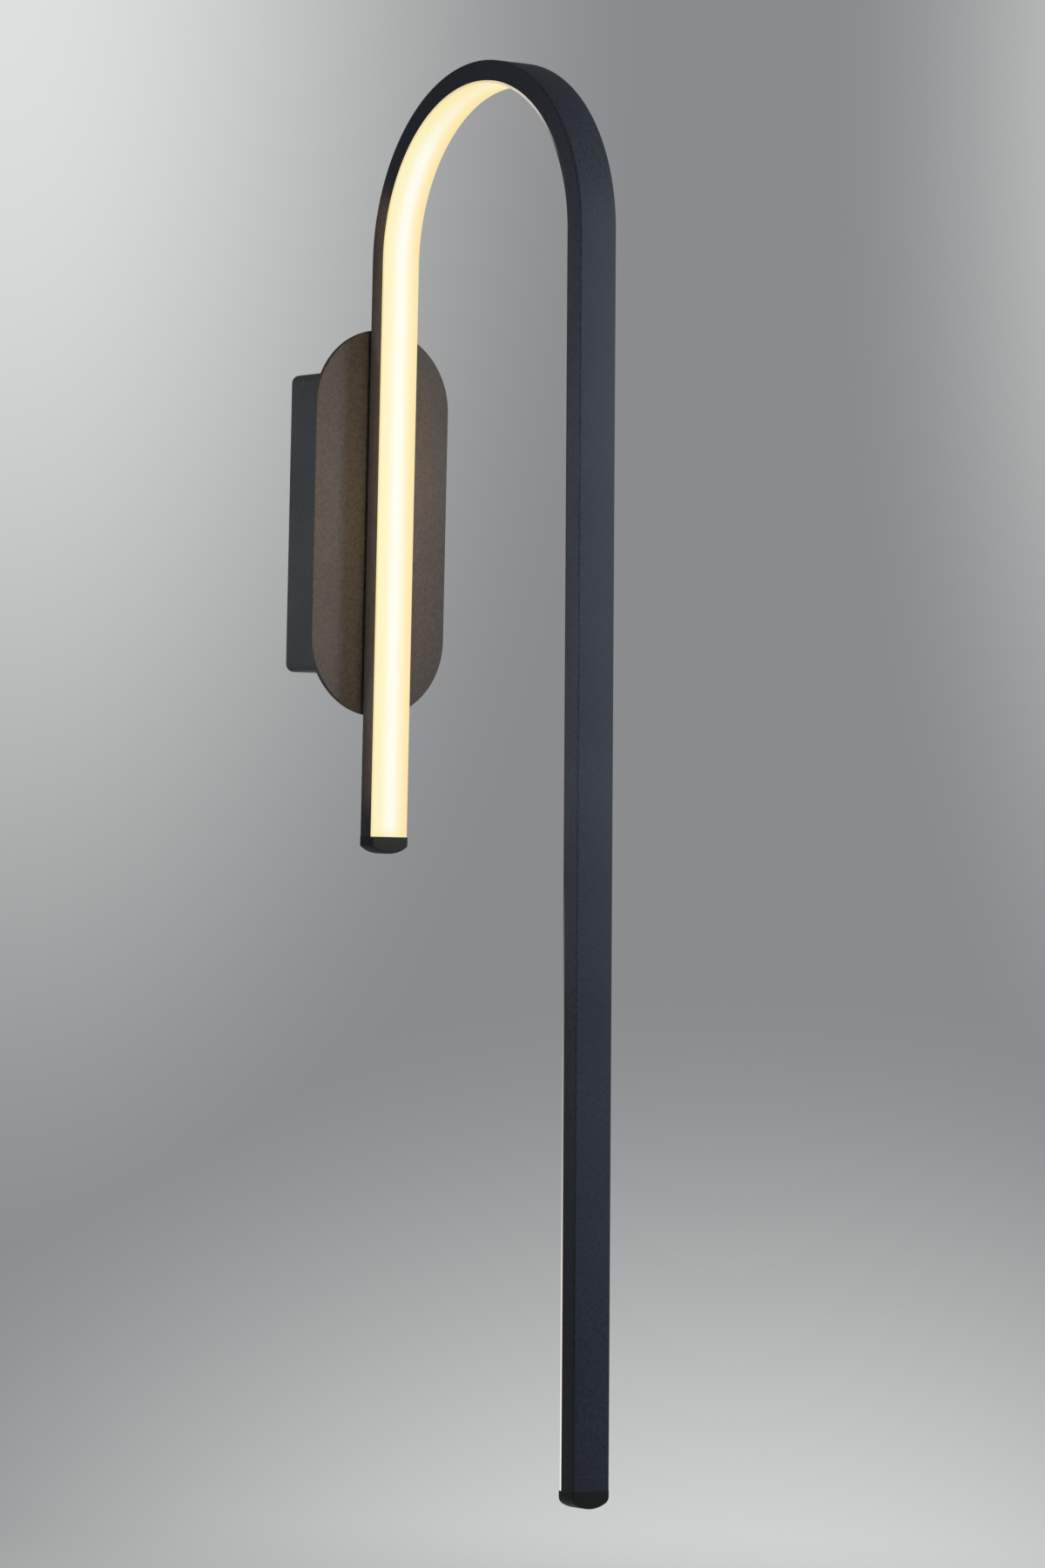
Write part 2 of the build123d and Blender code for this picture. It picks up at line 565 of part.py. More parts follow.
def terminal_screws():
    """Clamp screws in the block's wells, down on the leads."""
    tip_y = INSERT_Y - MAINS_LEAD_R - LEAD_GAP
    screw = pin(CLAMP_SCREW_R)
    return Compound([forward(screw, x, z, tip_y, tip_y - CLAMP_SCREW_L) for x, z in clamp_places()])


def terminal_nut():
    """Nut that holds the terminal block."""
    return nut(BLOCK_EAR_X, BLOCK_Z, PAN_FLOOR_Y - BLOCK_BASE)


def earth_tag():
    """Ring tag with a barrel for the earth lead."""
    neck_l = TAG_R + TAG_NECK_L + TAG_NECK_L
    flat = pin(TAG_R) + Rectangle(TAG_NECK_W, neck_l, align=(Align.CENTER, Align.MAX)) - bore(SCREW_HOLE_R)
    body = forward(flat, EARTH_X, EARTH_Z, PAN_FLOOR_Y, PAN_FLOOR_Y - TAG_T)
    ends = (TAG_BARREL_TOP - TAG_BARREL_L, TAG_BARREL_TOP)
    body += upward(pin(TAG_BARREL_R), EARTH_X, TAG_BARREL_Y, *ends)
    return body - upward(bore(MAINS_LEAD_R + LEAD_GAP), EARTH_X, TAG_BARREL_Y, *ends)


def earth_washer():
    """Washer on the earth tag."""
    return washer(EARTH_X, EARTH_Z, PAN_FLOOR_Y - TAG_T)


def earth_nut():
    """Nut on the earth washer."""
    return nut(EARTH_X, EARTH_Z, PAN_FLOOR_Y - TAG_T - WASHER_T)


def supply_leads():
    """Live and neutral leads from the terminal block to the driver."""
    leads = []
    for x in POLES_X[:2]:
        upper, lower = DRIVER_TOP + 2 * BLOCK_ROOM / 3, DRIVER_TOP + BLOCK_ROOM / 3
        points = [(x, INSERT_Y, BLOCK_BOTTOM + LEAD_GRIP), (x, INSERT_Y, upper),
                  (x, DRIVER_LEAD_Y, lower), (x, DRIVER_LEAD_Y, DRIVER_TOP - LEAD_GRIP)]
        leads.append(lead(points, MAINS_LEAD_R, [MAINS_LEAD_BEND, MAINS_LEAD_BEND]))
    return Compound(leads)


def earth_lead():
    """Earth lead from the terminal block to the earth tag."""
    x, low_z = POLES_X[2], DRIVER_TOP + BLOCK_ROOM / 3
    end_z = TAG_BARREL_TOP - TAG_BARREL_L + LEAD_GRIP
    points = [(x, INSERT_Y, BLOCK_BOTTOM + LEAD_GRIP), (x, INSERT_Y, low_z),
              (EARTH_X, TAG_BARREL_Y, low_z), (EARTH_X, TAG_BARREL_Y, end_z)]
    return lead(points, MAINS_LEAD_R, [MAINS_LEAD_BEND, MAINS_LEAD_BEND])


def led_leads():
    """Pair of leads from the driver through the sleeve and down the channel to the strip's pads."""
    front_y = WEB_Y + LEAD_FRONT_ROOM
    low_z = DRIVER_BOTTOM - LEAD_DROP
    pad_x = SOLDER_X + SOLDER_R + LEAD_GAP
    leads = []
    for off in (-LEAD_PITCH / 2, LEAD_PITCH / 2):
        floor_y = PAD_LEAD_Y - LEAD_PITCH / 2 - off
        points = [(DRIVER_LEAD_Y - off, DRIVER_BOTTOM + LEAD_GRIP), (DRIVER_LEAD_Y - off, low_z + off),
                  (front_y + off, low_z + off), (front_y + off, off), (floor_y, off)]
        bends = [LED_LEAD_BEND - off, LED_LEAD_BEND - off, LED_LEAD_BEND + off, FLOOR_LEAD_BEND + off]
        pad_z = UPPER_PAD_Z
        if off > 0:
            step_z = UPPER_PAD_Z - LEAD_PITCH - SOLDER_R
            pad_z = LOWER_PAD_Z
            points += [(floor_y, step_z), (PAD_LEAD_Y, (step_z + pad_z) / 2)]
            bends += [LED_LEAD_BEND, LED_LEAD_BEND]
        route = [(LEAD_X, y, z) for y, z in points]
        route += [(LEAD_X, PAD_LEAD_Y, pad_z), (pad_x, PAD_LEAD_Y, pad_z)]
        leads.append(lead(route, LED_LEAD_R, bends + [PAD_LEAD_BEND]))
    return Compound(leads)


PIECES = (
    back_pan, cable_grommet, front_plate, cover_bracket, cover_screws,
    light_channel, light_diffuser, led_strip, led_chips, solder_joints, short_leg_cap, long_leg_cap,
    standoff_spacers, channel_screws, channel_washers, channel_nuts, lead_sleeve,
    driver_case, driver_lid, driver_board, driver_nuts,
    terminal_block, terminal_inserts, terminal_screws, terminal_nut,
    earth_tag, earth_washer, earth_nut, supply_leads, earth_lead, led_leads,
)

os.makedirs("parts", exist_ok=True)
for piece in PIECES:
    export_step(piece(), f"parts/{piece.__name__}.step")
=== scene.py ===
"""Looks of a hook-shaped LED wall light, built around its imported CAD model.

Sizes are in millimetres until a mesh is made, which is in metres in the CAD model's frame: +Z up, the
wall at Y = 0 and the light standing out from it towards -Y.
"""

import logging
import math
from dataclasses import dataclass
from enum import Enum
from functools import cache
from typing import Iterable, NamedTuple, Sequence

import bmesh
import bpy
from mathutils import Matrix, Vector


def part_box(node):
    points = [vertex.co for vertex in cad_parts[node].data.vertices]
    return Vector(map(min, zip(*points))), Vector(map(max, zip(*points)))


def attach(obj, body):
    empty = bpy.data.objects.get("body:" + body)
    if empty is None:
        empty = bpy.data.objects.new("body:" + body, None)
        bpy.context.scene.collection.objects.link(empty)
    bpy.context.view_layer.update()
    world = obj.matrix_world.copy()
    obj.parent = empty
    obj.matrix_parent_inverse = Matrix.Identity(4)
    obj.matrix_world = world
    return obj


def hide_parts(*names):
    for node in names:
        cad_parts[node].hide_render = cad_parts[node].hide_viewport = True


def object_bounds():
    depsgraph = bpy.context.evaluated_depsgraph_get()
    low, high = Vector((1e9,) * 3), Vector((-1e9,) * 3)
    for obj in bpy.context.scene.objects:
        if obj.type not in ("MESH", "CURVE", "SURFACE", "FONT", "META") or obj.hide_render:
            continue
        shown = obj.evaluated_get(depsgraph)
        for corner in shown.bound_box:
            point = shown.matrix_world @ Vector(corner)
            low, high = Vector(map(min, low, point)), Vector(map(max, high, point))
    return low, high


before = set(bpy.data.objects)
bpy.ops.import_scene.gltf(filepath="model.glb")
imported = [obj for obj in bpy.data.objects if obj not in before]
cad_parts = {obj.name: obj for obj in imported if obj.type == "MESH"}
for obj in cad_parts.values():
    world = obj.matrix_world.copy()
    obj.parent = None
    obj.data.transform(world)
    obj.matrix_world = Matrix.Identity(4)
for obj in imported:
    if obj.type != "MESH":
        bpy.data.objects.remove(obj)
CAD_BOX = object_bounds()

MM = 0.001
BODY = "root"
SMOOTH_DEG = 32.0  # edges that turn by more than this stay sharp in the shading
ARC_STEP_DEG = 15.0
SIXTH = math.pi / 3
RIM_SEGMENTS = 4
NEAR = 0.002  # points closer than this are one
SPARE = 1.0  # how far a tool stands past what it cuts
TURN = "turn"  # attribute with the turn of each seat
NOISE_SPAN = (0.3, 0.7)  # that nearly all of a noise texture's values lie in
COLOUR_A, COLOUR_B, MIXED = 6, 7, 2  # a Mix node's colour inputs and its colour output
LOG = logging.getLogger("wall_light")

Piece = bpy.types.Object
Node = bpy.types.Node
Socket = bpy.types.NodeSocket
Tree = bpy.types.NodeTree
Flat = tuple[float, float]
Point = tuple[float, float, float]
Corner = tuple[float, float, float]  # a point of an outline and the radius that rounds it
Stop = tuple[float, str]  # a place on a colour ramp and its colour


class Slot(Enum):
    """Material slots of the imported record."""

    COATED_ALUMINIUM = "coated_aluminium"
    COATED_STEEL = "coated_steel"
    OPAL_LENS = "opal_lens"
    CAP_PLASTIC = "cap_plastic"
    ZINC_STEEL = "zinc_steel"
    BLACK_SCREW = "black_screw"
    STRIP_BOARD = "strip_board"
    LED_PHOSPHOR = "led_phosphor"
    SOLDER = "solder"
    GROMMET_RUBBER = "grommet_rubber"
    SLEEVE_PLASTIC = "sleeve_plastic"
    DRIVER_PLASTIC = "driver_plastic"
    CIRCUIT_BOARD = "circuit_board"
    TERMINAL_PLASTIC = "terminal_plastic"
    TERMINAL_BRASS = "terminal_brass"
    SUPPLY_INSULATION = "supply_insulation"
    EARTH_INSULATION = "earth_insulation"
    LED_INSULATION = "led_insulation"


class Leg(Enum):
    """The two legs of the hook, each by the name of its cap's CAD node."""

    SHORT = "short_leg_cap"
    LONG = "long_leg_cap"


class Round(Enum):
    """Outline of a turned piece at one of its levels."""

    CIRCLE = 0
    HEXAGON = 6


class Facing(Enum):
    """Way that a fastener's axis points, as its turn about X in degrees."""

    UP = 0.0
    ROOM = 90.0
    DOWN = 180.0
    WALL = -90.0


class Ring(NamedTuple):
    """One level of a turned piece."""

    radius: float  # or half the width across flats
    level: float
    outline: Round = Round.CIRCLE


class Seat(NamedTuple):
    """Where a fastener stands, and the way its axis points."""

    place: Point
    facing: Facing


def linear(hex_colour: str) -> tuple[float, float, float, float]:
    """Turn an sRGB hex colour into linear RGBA.

    Args:
        hex_colour: Colour as six hex digits.

    Returns:
        Linear red, green and blue, with an alpha of 1.
    """
    parts = [int(hex_colour[i:i + 2], 16) / 255 for i in (0, 2, 4)]
    red, green, blue = [c / 12.92 if c <= 0.04045 else ((c + 0.055) / 1.055) ** 2.4 for c in parts]
    return red, green, blue, 1.0


def per_metre(size_mm: float) -> float:
    """Texture scale that gives a pattern features of a size in millimetres."""
    return 1 / (size_mm * MM)


def box_mm(node: str) -> tuple[Vector, Vector]:
    """Low and high corners of a CAD node's box, in millimetres."""
    low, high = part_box(node)
    return low / MM, high / MM


def feed(tree: Tree, node: Node, given: dict) -> None:
    """Set or link inputs of a node.

    Args:
        tree: Tree of the node.
        node: The node.
        given: For each input, by name or number: a value, an output, or a node for its first output.
    """
    for key, value in given.items():
        if isinstance(value, Node):
            value = value.outputs[0]
        if isinstance(value, Socket):
            tree.links.new(value, node.inputs[key])
        else:
            node.inputs[key].default_value = value


def add_node(tree: Tree, kind: str, given: dict | None = None, stops: Iterable[Stop] = (),
             **settings: object) -> Node:
    """Add a node with its settings, values and links.

    Args:
        tree: Tree that takes the node.
        kind: Blender's name for the kind of node.
        given: Its inputs, as feed() takes them.
        stops: Stops of a colour ramp.
        **settings: Properties of the node itself.

    Returns:
        The new node.
    """
    made = tree.nodes.new(kind)
    for name, value in settings.items():
        setattr(made, name, value)
    feed(tree, made, given or {})
    for index, (place, colour) in enumerate(stops):
        elements = made.color_ramp.elements
        element = elements[index] if index < 2 else elements.new(place)
        element.position = place
        element.color = linear(colour)
    return made


@dataclass(frozen=True)
class Finish:
    """A finish: the material's name and the record's slot that it belongs to."""

    name: str
    slot: Slot

    def material(self) -> bpy.types.Material:
        """Make the material, or give back the one already made.

        Returns:
            The material.
        """
        made = bpy.data.materials.get(self.name)
        if made is None:
            made = bpy.data.materials.new(self.name)
            made.use_nodes = True
            tree = made.node_tree
            place = add_node(tree, "ShaderNodeTexCoord").outputs["Object"]
            self.paint(tree, tree.nodes["Principled BSDF"], place)
        return made

    def paint(self, tree: Tree, shader: Node, place: Socket) -> None:
        """Fill the shader's sockets.

        Args:
            tree: The material's node tree.
            shader: Its Principled shader.
            place: Object coordinates.
        """
        raise NotImplementedError


@dataclass(frozen=True)
class Grained(Finish):
    """A finish of two close tones in a fine grain, over a slow drift of tone.

    The grain also sets the roughness and a slight bump, so that highlights break up as they do on a
    sprayed, moulded or plated surface.
    """

    tones: tuple[str, str]
    grain_mm: float
    roughness: Flat
    bump_mm: float = 0.02
    drift_mm: float = 60.0
    drift: float = 0.25
    metallic: float = 0.0
    ior: float = 1.5

    def paint(self, tree: Tree, shader: Node, place: Socket) -> None:
        """Fill the shader's sockets, as Finish.paint says."""
        grain = add_node(tree, "ShaderNodeTexNoise", {
            "Vector": place, "Scale": per_metre(self.grain_mm), "Detail": 2.0})
        drift = add_node(tree, "ShaderNodeTexNoise", {
            "Vector": place, "Scale": per_metre(self.drift_mm), "Detail": 1.0})
        tone = add_node(tree, "ShaderNodeMix", {"Factor": self.drift, "A": grain, "B": drift})
        ramp = add_node(tree, "ShaderNodeValToRGB", {"Fac": tone}, zip(NOISE_SPAN, self.tones))
        rough = add_node(tree, "ShaderNodeMapRange", {
            "Value": grain, "From Min": NOISE_SPAN[0], "From Max": NOISE_SPAN[1],
            "To Min": self.roughness[0], "To Max": self.roughness[1]})
        bumped = add_node(tree, "ShaderNodeBump", {
            "Height": grain, "Strength": 1.0, "Distance": self.bump_mm * MM})
        feed(tree, shader, {
            "Base Color": ramp, "Roughness": rough, "Normal": bumped, "Metallic": self.metallic})
        if not self.metallic:
            feed(tree, shader, {"IOR": self.ior})


@dataclass(frozen=True)
class LitOpal(Finish):
    """Opal lens lit from behind: nearly white over the LEDs, warmer towards its two edges.

    Its sides, which stand past the channel's walls, carry less light than its face; along the middle of
    the height the sides and the face's outer edge carry painted shade, dark as a shadow gap. Its base
    colour is kept dark, so that the lamps don't wash the glow out.
    """

    face: tuple[Stop, ...]  # across the lens, from 0 on its left to 1 on its right
    side: tuple[Stop, ...]  # along the height, from 0 at the low end to 1 at the bend's top
    bend: str  # that the face nears at the top of the bend and at the short leg's foot
    rim: str  # of the side near the wall, on the short leg
    base: tuple[str, str]
    half_mm: float
    low_mm: float
    high_mm: float
    rim_mm: float  # level of Y behind which the rim's colour holds
    foot_mm: float  # level of Z of the short leg's foot
    edge_mm: float = 0.4
    lip_mm: float = 0.15
    rim_fade_mm: float = 30.0
    foot_fade_mm: float = 5.0
    foot_share: float = 0.6
    bend_from: float = 0.95  # share of the height
    bend_share: float = 0.75
    strength: float = 1.0
    roughness: float = 0.6
    specular: float = 0.08
    mottle_mm: float = 4.0
    mottle_span: Flat = (0.35, 0.65)

    def paint(self, tree: Tree, shader: Node, place: Socket) -> None:
        """Fill the shader's sockets, as Finish.paint says."""
        axes = add_node(tree, "ShaderNodeSeparateXYZ", {"Vector": place}).outputs
        off_middle = add_node(tree, "ShaderNodeMath", {0: axes["X"]}, operation="ABSOLUTE")
        bend_mm = self.low_mm + self.bend_from * (self.high_mm - self.low_mm)
        spans = {
            "across": (axes["X"], -self.half_mm, self.half_mm, 1.0),
            "height": (axes["Z"], self.low_mm, self.high_mm, 1.0),
            "wall": (axes["Y"], self.rim_mm - self.rim_fade_mm, self.rim_mm, 1.0),
            "side": (off_middle, self.half_mm - self.edge_mm, self.half_mm - self.lip_mm, 1.0),
            "bend": (axes["Z"], bend_mm, self.high_mm, self.bend_share),
            "foot": (axes["Z"], self.foot_mm + self.foot_fade_mm, self.foot_mm, self.foot_share)}
        share = {name: add_node(tree, "ShaderNodeMapRange", {
            "Value": level, "From Min": start * MM, "From Max": end * MM, "To Max": most})
            for name, (level, start, end, most) in spans.items()}
        at_foot = add_node(tree, "ShaderNodeMath", {
            0: share["foot"], 1: share["wall"]}, operation="MULTIPLY")
        side = add_node(tree, "ShaderNodeValToRGB", {"Fac": share["height"]}, self.side)
        edge = add_node(tree, "ShaderNodeMix", {
            0: share["wall"], COLOUR_A: side, COLOUR_B: linear(self.rim)}, data_type="RGBA").outputs[MIXED]
        glow = add_node(tree, "ShaderNodeValToRGB", {"Fac": share["across"]}, self.face).outputs["Color"]
        warm = linear(self.bend)
        for part, colour in ((share["bend"], warm), (at_foot, warm), (share["side"], edge)):
            glow = add_node(tree, "ShaderNodeMix", {
                0: part, COLOUR_A: glow, COLOUR_B: colour}, data_type="RGBA").outputs[MIXED]
        mottle = add_node(tree, "ShaderNodeTexNoise", {"Vector": place, "Scale": per_metre(self.mottle_mm)})
        base = add_node(tree, "ShaderNodeValToRGB", {"Fac": mottle}, zip(self.mottle_span, self.base))
        feed(tree, shader, {
            "Base Color": base, "Emission Color": glow, "Emission Strength": self.strength,
            "Specular IOR Level": self.specular, "Roughness": self.roughness})


@dataclass(frozen=True)
class Striped(Finish):
    """Two-coloured insulation: bands that wind round the lead."""

    tones: tuple[str, str]
    band_mm: float
    band_edge: Flat = (0.48, 0.52)
    roughness: float = 0.42

    def paint(self, tree: Tree, shader: Node, place: Socket) -> None:
        """Fill the shader's sockets, as Finish.paint says."""
        bands = add_node(tree, "ShaderNodeTexWave", {
            "Vector": place, "Scale": per_metre(self.band_mm) / (2 * math.pi), "Distortion": 0.0},
            bands_direction="DIAGONAL").outputs["Fac"]
        ramp = add_node(tree, "ShaderNodeValToRGB", {"Fac": bands}, zip(self.band_edge, self.tones))
        feed(tree, shader, {"Base Color": ramp, "Roughness": self.roughness})


LENS_LOW, LENS_HIGH = box_mm("light_diffuser")

# Fine-textured black powder coat on aluminium: sandy, half matt and a little blue beside warm light. Its
# real grain is near 0.3 mm, too fine to show here, so it is drawn coarser, as on the steel below.
COATED_ALUMINIUM = Grained("black powder coat on aluminium", Slot.COATED_ALUMINIUM, ("282C35", "484D57"),
                           1.3, (0.62, 0.76), bump_mm=0.06, ior=1.4)
# The same coat on pressed and laser-cut steel, a shade warmer.
COATED_STEEL = Grained("black powder coat on steel", Slot.COATED_STEEL, ("2F2F30", "4D4C4B"),
                       1.3, (0.6, 0.74), bump_mm=0.08, ior=1.4)
# Opal polycarbonate with the LEDs on: too bright to show a texture, warm where its edges turn away.
LIT_OPAL = LitOpal(
    "lit opal polycarbonate", Slot.OPAL_LENS,
    face=((0.0, "FAEEBC"), (0.22, "FAF1C6"), (0.42, "FCF9EC"), (0.56, "FCFAEE"), (0.8, "FAEBB9"),
          (1.0, "FADFA4")),
    # the sides' glow, with painted shade, dark as a shadow gap, from 0.42 to 0.93 of the height
    side=((0.0, "FAF4EE"), (0.15, "E8E0D6"), (0.24, "B4AEA6"), (0.3, "A09A94"), (0.42, "24211E"),
          (0.93, "24211E"), (0.95, "8C8680"), (0.965, "C4BCB4"), (0.98, "D2C8BC"), (1.0, "F0DCA8")),
    bend="F8E6A2", rim="F0E0AC", base=("2E2A24", "343029"), half_mm=LENS_HIGH.x, low_mm=LENS_LOW.z,
    high_mm=LENS_HIGH.z, rim_mm=-90.0, foot_mm=-150.0)
# Moulded ABS of the end caps: black, satin, with a faint spark-eroded texture.
CAP_PLASTIC = Grained("moulded black abs", Slot.CAP_PLASTIC, ("191A1B", "222324"), 0.9, (0.6, 0.72),
                      bump_mm=0.03, ior=1.4)
# Zinc plate: bright grey, slightly blue, with a soft crystalline mottle.
ZINC_STEEL = Grained("zinc plated steel", Slot.ZINC_STEEL, ("B4B8BC", "D2D5D8"), 2.2, (0.24, 0.4),
                     metallic=1.0)
# Black oxide on steel screws and collars: a dark oiled sheen.
BLACK_SCREW = Grained("black oxide steel", Slot.BLACK_SCREW, ("1B1B1D", "28282B"), 1.2, (0.32, 0.46))
# White solder mask on a flexible board: smooth, a little glossy.
STRIP_BOARD = Grained("white solder mask", Slot.STRIP_BOARD, ("E2E2DE", "F0F0EC"), 3.0, (0.3, 0.4),
                      bump_mm=0.01)
# Silicone with yellow phosphor, cast into each LED package: glossy and waxy.
LED_PHOSPHOR = Grained("yellow phosphor silicone", Slot.LED_PHOSPHOR, ("E2B93C", "EFCB57"),
                       0.6, (0.18, 0.28))
# Tin solder, bright where it froze smooth.
SOLDER = Grained("tin solder", Slot.SOLDER, ("BFC0C0", "DADBDB"), 0.5, (0.18, 0.34), metallic=1.0)
# Black EPDM rubber: matt, with a dusty bloom.
GROMMET_RUBBER = Grained("black epdm rubber", Slot.GROMMET_RUBBER, ("161616", "242424"), 0.8, (0.7, 0.85))
# Extruded PVC sleeve, ivory and waxy.
SLEEVE_PLASTIC = Grained("ivory pvc sleeve", Slot.SLEEVE_PLASTIC, ("D6D2C4", "E2DFD2"), 1.5, (0.4, 0.5))
# Moulded polycarbonate of the driver's case: white, matt, faintly grained.
DRIVER_PLASTIC = Grained("white moulded polycarbonate", Slot.DRIVER_PLASTIC, ("DCDCD9", "EBEBE8"),
                         0.9, (0.5, 0.62))
# Green solder mask on glass epoxy, with the weave just showing through.
CIRCUIT_BOARD = Grained("green solder mask", Slot.CIRCUIT_BOARD, ("1F5A38", "2B7248"), 1.0, (0.28, 0.4))
# Natural polyamide of the terminal block: ivory, slightly waxy.
TERMINAL_PLASTIC = Grained("natural polyamide", Slot.TERMINAL_PLASTIC, ("DCD8C6", "EAE6D6"),
                           1.2, (0.42, 0.54))
# Turned brass of the terminal's inserts and the earth tag.
TERMINAL_BRASS = Grained("turned brass", Slot.TERMINAL_BRASS, ("C09A50", "D9B56B"), 0.7, (0.22, 0.36),
                         metallic=1.0)
# PVC insulation: brown and blue mains leads, red and black LED leads, green and yellow earth.
BROWN_PVC = Grained("brown pvc insulation", Slot.SUPPLY_INSULATION, ("5A3320", "6B3F28"), 1.0, (0.38, 0.48))
BLUE_PVC = Grained("blue pvc insulation", Slot.SUPPLY_INSULATION, ("1F4FA0", "2A60B6"), 1.0, (0.38, 0.48))
RED_PVC = Grained("red pvc insulation", Slot.LED_INSULATION, ("A81C1C", "BE2A28"), 1.0, (0.38, 0.48))
BLACK_PVC = Grained("black pvc insulation", Slot.LED_INSULATION, ("18181A", "232326"), 1.0, (0.38, 0.48))
EARTH_PVC = Striped("green and yellow pvc insulation", Slot.EARTH_INSULATION, ("3E8A2E", "E3C92E"), 1.6)


def rounded(corners: Sequence[Corner], step_deg: float = ARC_STEP_DEG) -> list[Flat]:
    """Round the corners of a closed outline.

    Args:
        corners: Points of the outline in order, each with the radius that rounds it, or 0.
        step_deg: Largest turn between two points of an arc.

    Returns:
        The outline's points.
    """
    points: list[Flat] = []
    for index, (x, y, radius) in enumerate(corners):
        here = Vector((x, y))
        if not radius:
            points.append((x, y))
            continue
        back = (Vector(corners[index - 1][:2]) - here).normalized()
        ahead = (Vector(corners[(index + 1) % len(corners)][:2]) - here).normalized()
        half = back.angle(ahead) / 2
        middle = here + (back + ahead).normalized() * radius / math.sin(half)
        spoke = here + back * radius / math.tan(half) - middle
        turn = math.copysign(math.pi - 2 * half, back.y * ahead.x - back.x * ahead.y)
        steps = math.ceil(math.degrees(abs(turn)) / step_deg)
        for step in range(steps + 1):
            points.append(tuple(middle + Matrix.Rotation(turn * step / steps, 2) @ spoke))
    pairs = zip(points, points[-1:] + points[:-1])
    return [here for here, before in pairs if math.dist(here, before) > NEAR]


def mirrored(right: Sequence[Corner]) -> list[Corner]:
    """Complete the right half of an outline with its mirror image."""
    return [*right, *((-x, y, radius) for x, y, radius in reversed(right))]


def rectangle(width: float, height: float, corner: float, step_deg: float) -> list[Flat]:
    """Outline of a rectangle about the origin, with rounded corners.

    Args:
        width: Its width.
        height: Its height.
        corner: Radius of its corners.
        step_deg: Largest turn between two points of a corner.

    Returns:
        The outline's points.
    """
    signs = ((-1, -1), (1, -1), (1, 1), (-1, 1))
    return rounded([(across * width / 2, up * height / 2, corner) for across, up in signs], step_deg)


def add_object(name: str, data: bpy.types.ID) -> Piece:
    """Make an object for a mesh, lamp or camera and put it in the scene."""
    made = bpy.data.objects.new(name, data)
    bpy.context.scene.collection.objects.link(made)
    return made


def from_bmesh(name: str, shape: bmesh.types.BMesh) -> Piece:
    """Turn a bmesh into an object with its faces outwards.

    Args:
        name: Name of the object.
        shape: The bmesh, in metres. It is freed.

    Returns:
        The object.
    """
    bmesh.ops.recalc_face_normals(shape, faces=shape.faces)
    mesh = bpy.data.meshes.new(name)
    shape.to_mesh(mesh)
    shape.free()
    return add_object(name, mesh)


def prism(name: str, outline: Sequence[Flat], low: float, high: float) -> Piece:
    """Raise an outline into a solid.

    Args:
        name: Name of the object.
        outline: Points of X and Z.
        low: Level of Y that it starts from.
        high: Level of Y that it ends at.

    Returns:
        The object.
    """
    shape = bmesh.new()
    rings = [[shape.verts.new(Vector((x, y, z)) * MM) for x, z in outline] for y in (low, high)]
    for ring in rings:
        shape.faces.new(ring)
    for index in range(len(outline)):
        shape.faces.new((rings[0][index - 1], rings[0][index], rings[1][index], rings[1][index - 1]))
    return from_bmesh(name, shape)


def lathe(name: str, profile: Sequence[Ring], closed: bool = False, sides: int = 24) -> Piece:
    """Turn a profile about Z, with round or hexagonal levels.

    Args:
        name: Name of the object.
        profile: Levels of the piece in order.
        closed: Whether the profile is a loop. Otherwise its first and last points are on the axis.
        sides: Points of each ring.

    Returns:
        The object.
    """
    shape = bmesh.new()
    rings = []
    for radius, level, outline in profile:
        ring = []
        for side in range(sides if radius else 1):
            angle = 2 * math.pi * side / sides
            reach = radius
            if outline is Round.HEXAGON:
                reach = radius / math.cos((angle + SIXTH / 2) % SIXTH - SIXTH / 2)
            corner = Vector((reach * math.cos(angle), reach * math.sin(angle), level))
            ring.append(shape.verts.new(corner * MM))
        rings.append(ring)
    following = rings[1:] + (rings[:1] if closed else [])
    for lower, upper in zip(rings, following):
        for side in range(sides):
            places = ((lower, side - 1), (lower, side), (upper, side), (upper, side - 1))
            corners = [ring[at % len(ring)] for ring, at in places]
            shape.faces.new(list(dict.fromkeys(corners)))
    return from_bmesh(name, shape)


def round_rims(piece: Piece, levels: Sequence[float], radius: float, above: float = -math.inf) -> None:
    """Round the rims of a prism.

    Args:
        piece: The prism.
        levels: Levels of Y whose rims are rounded.
        radius: Radius of the rounding.
        above: Level of Z up to which a rim stays sharp.
    """
    shape = bmesh.new()
    shape.from_mesh(piece.data)
    rims = [edge for edge in shape.edges
            if max(vert.co.z for vert in edge.verts) > above * MM
            and any(all(abs(vert.co.y - level * MM) < NEAR * MM for vert in edge.verts) for level in levels)]
    bmesh.ops.bevel(shape, geom=rims, offset=radius * MM, segments=RIM_SEGMENTS, affect="EDGES",
                    profile=0.5, clamp_overlap=True)
    shape.to_mesh(piece.data)
    shape.free()


def settle(piece: Piece, finish: Finish | None = None) -> Piece:
    """Apply a piece's modifiers, merge its doubles and shade it smooth.

    Args:
        piece: Object with its modifiers still live.
        finish: Finish that it takes, unless its mesh has one already.

    Returns:
        The same object with a plain mesh.
    """
    view = bpy.context.evaluated_depsgraph_get()
    mesh = bpy.data.meshes.new_from_object(piece.evaluated_get(view))
    piece.modifiers.clear()
    shape = bmesh.new()
    shape.from_mesh(mesh)
    bmesh.ops.remove_doubles(shape, verts=shape.verts, dist=NEAR * MM)
    bmesh.ops.recalc_face_normals(shape, faces=shape.faces)
    shape.to_mesh(mesh)
    shape.free()
    mesh.name = piece.name
    mesh.polygons.foreach_set("use_smooth", [True] * len(mesh.polygons))
    mesh.set_sharp_from_angle(angle=math.radians(SMOOTH_DEG))
    if finish is not None:
        mesh.materials.clear()
        mesh.materials.append(finish.material())
    piece.data = mesh
    return piece


def discard(*helpers: Piece) -> None:
    """Remove objects that only helped to make others."""
    for helper in helpers:
        bpy.data.objects.remove(helper)


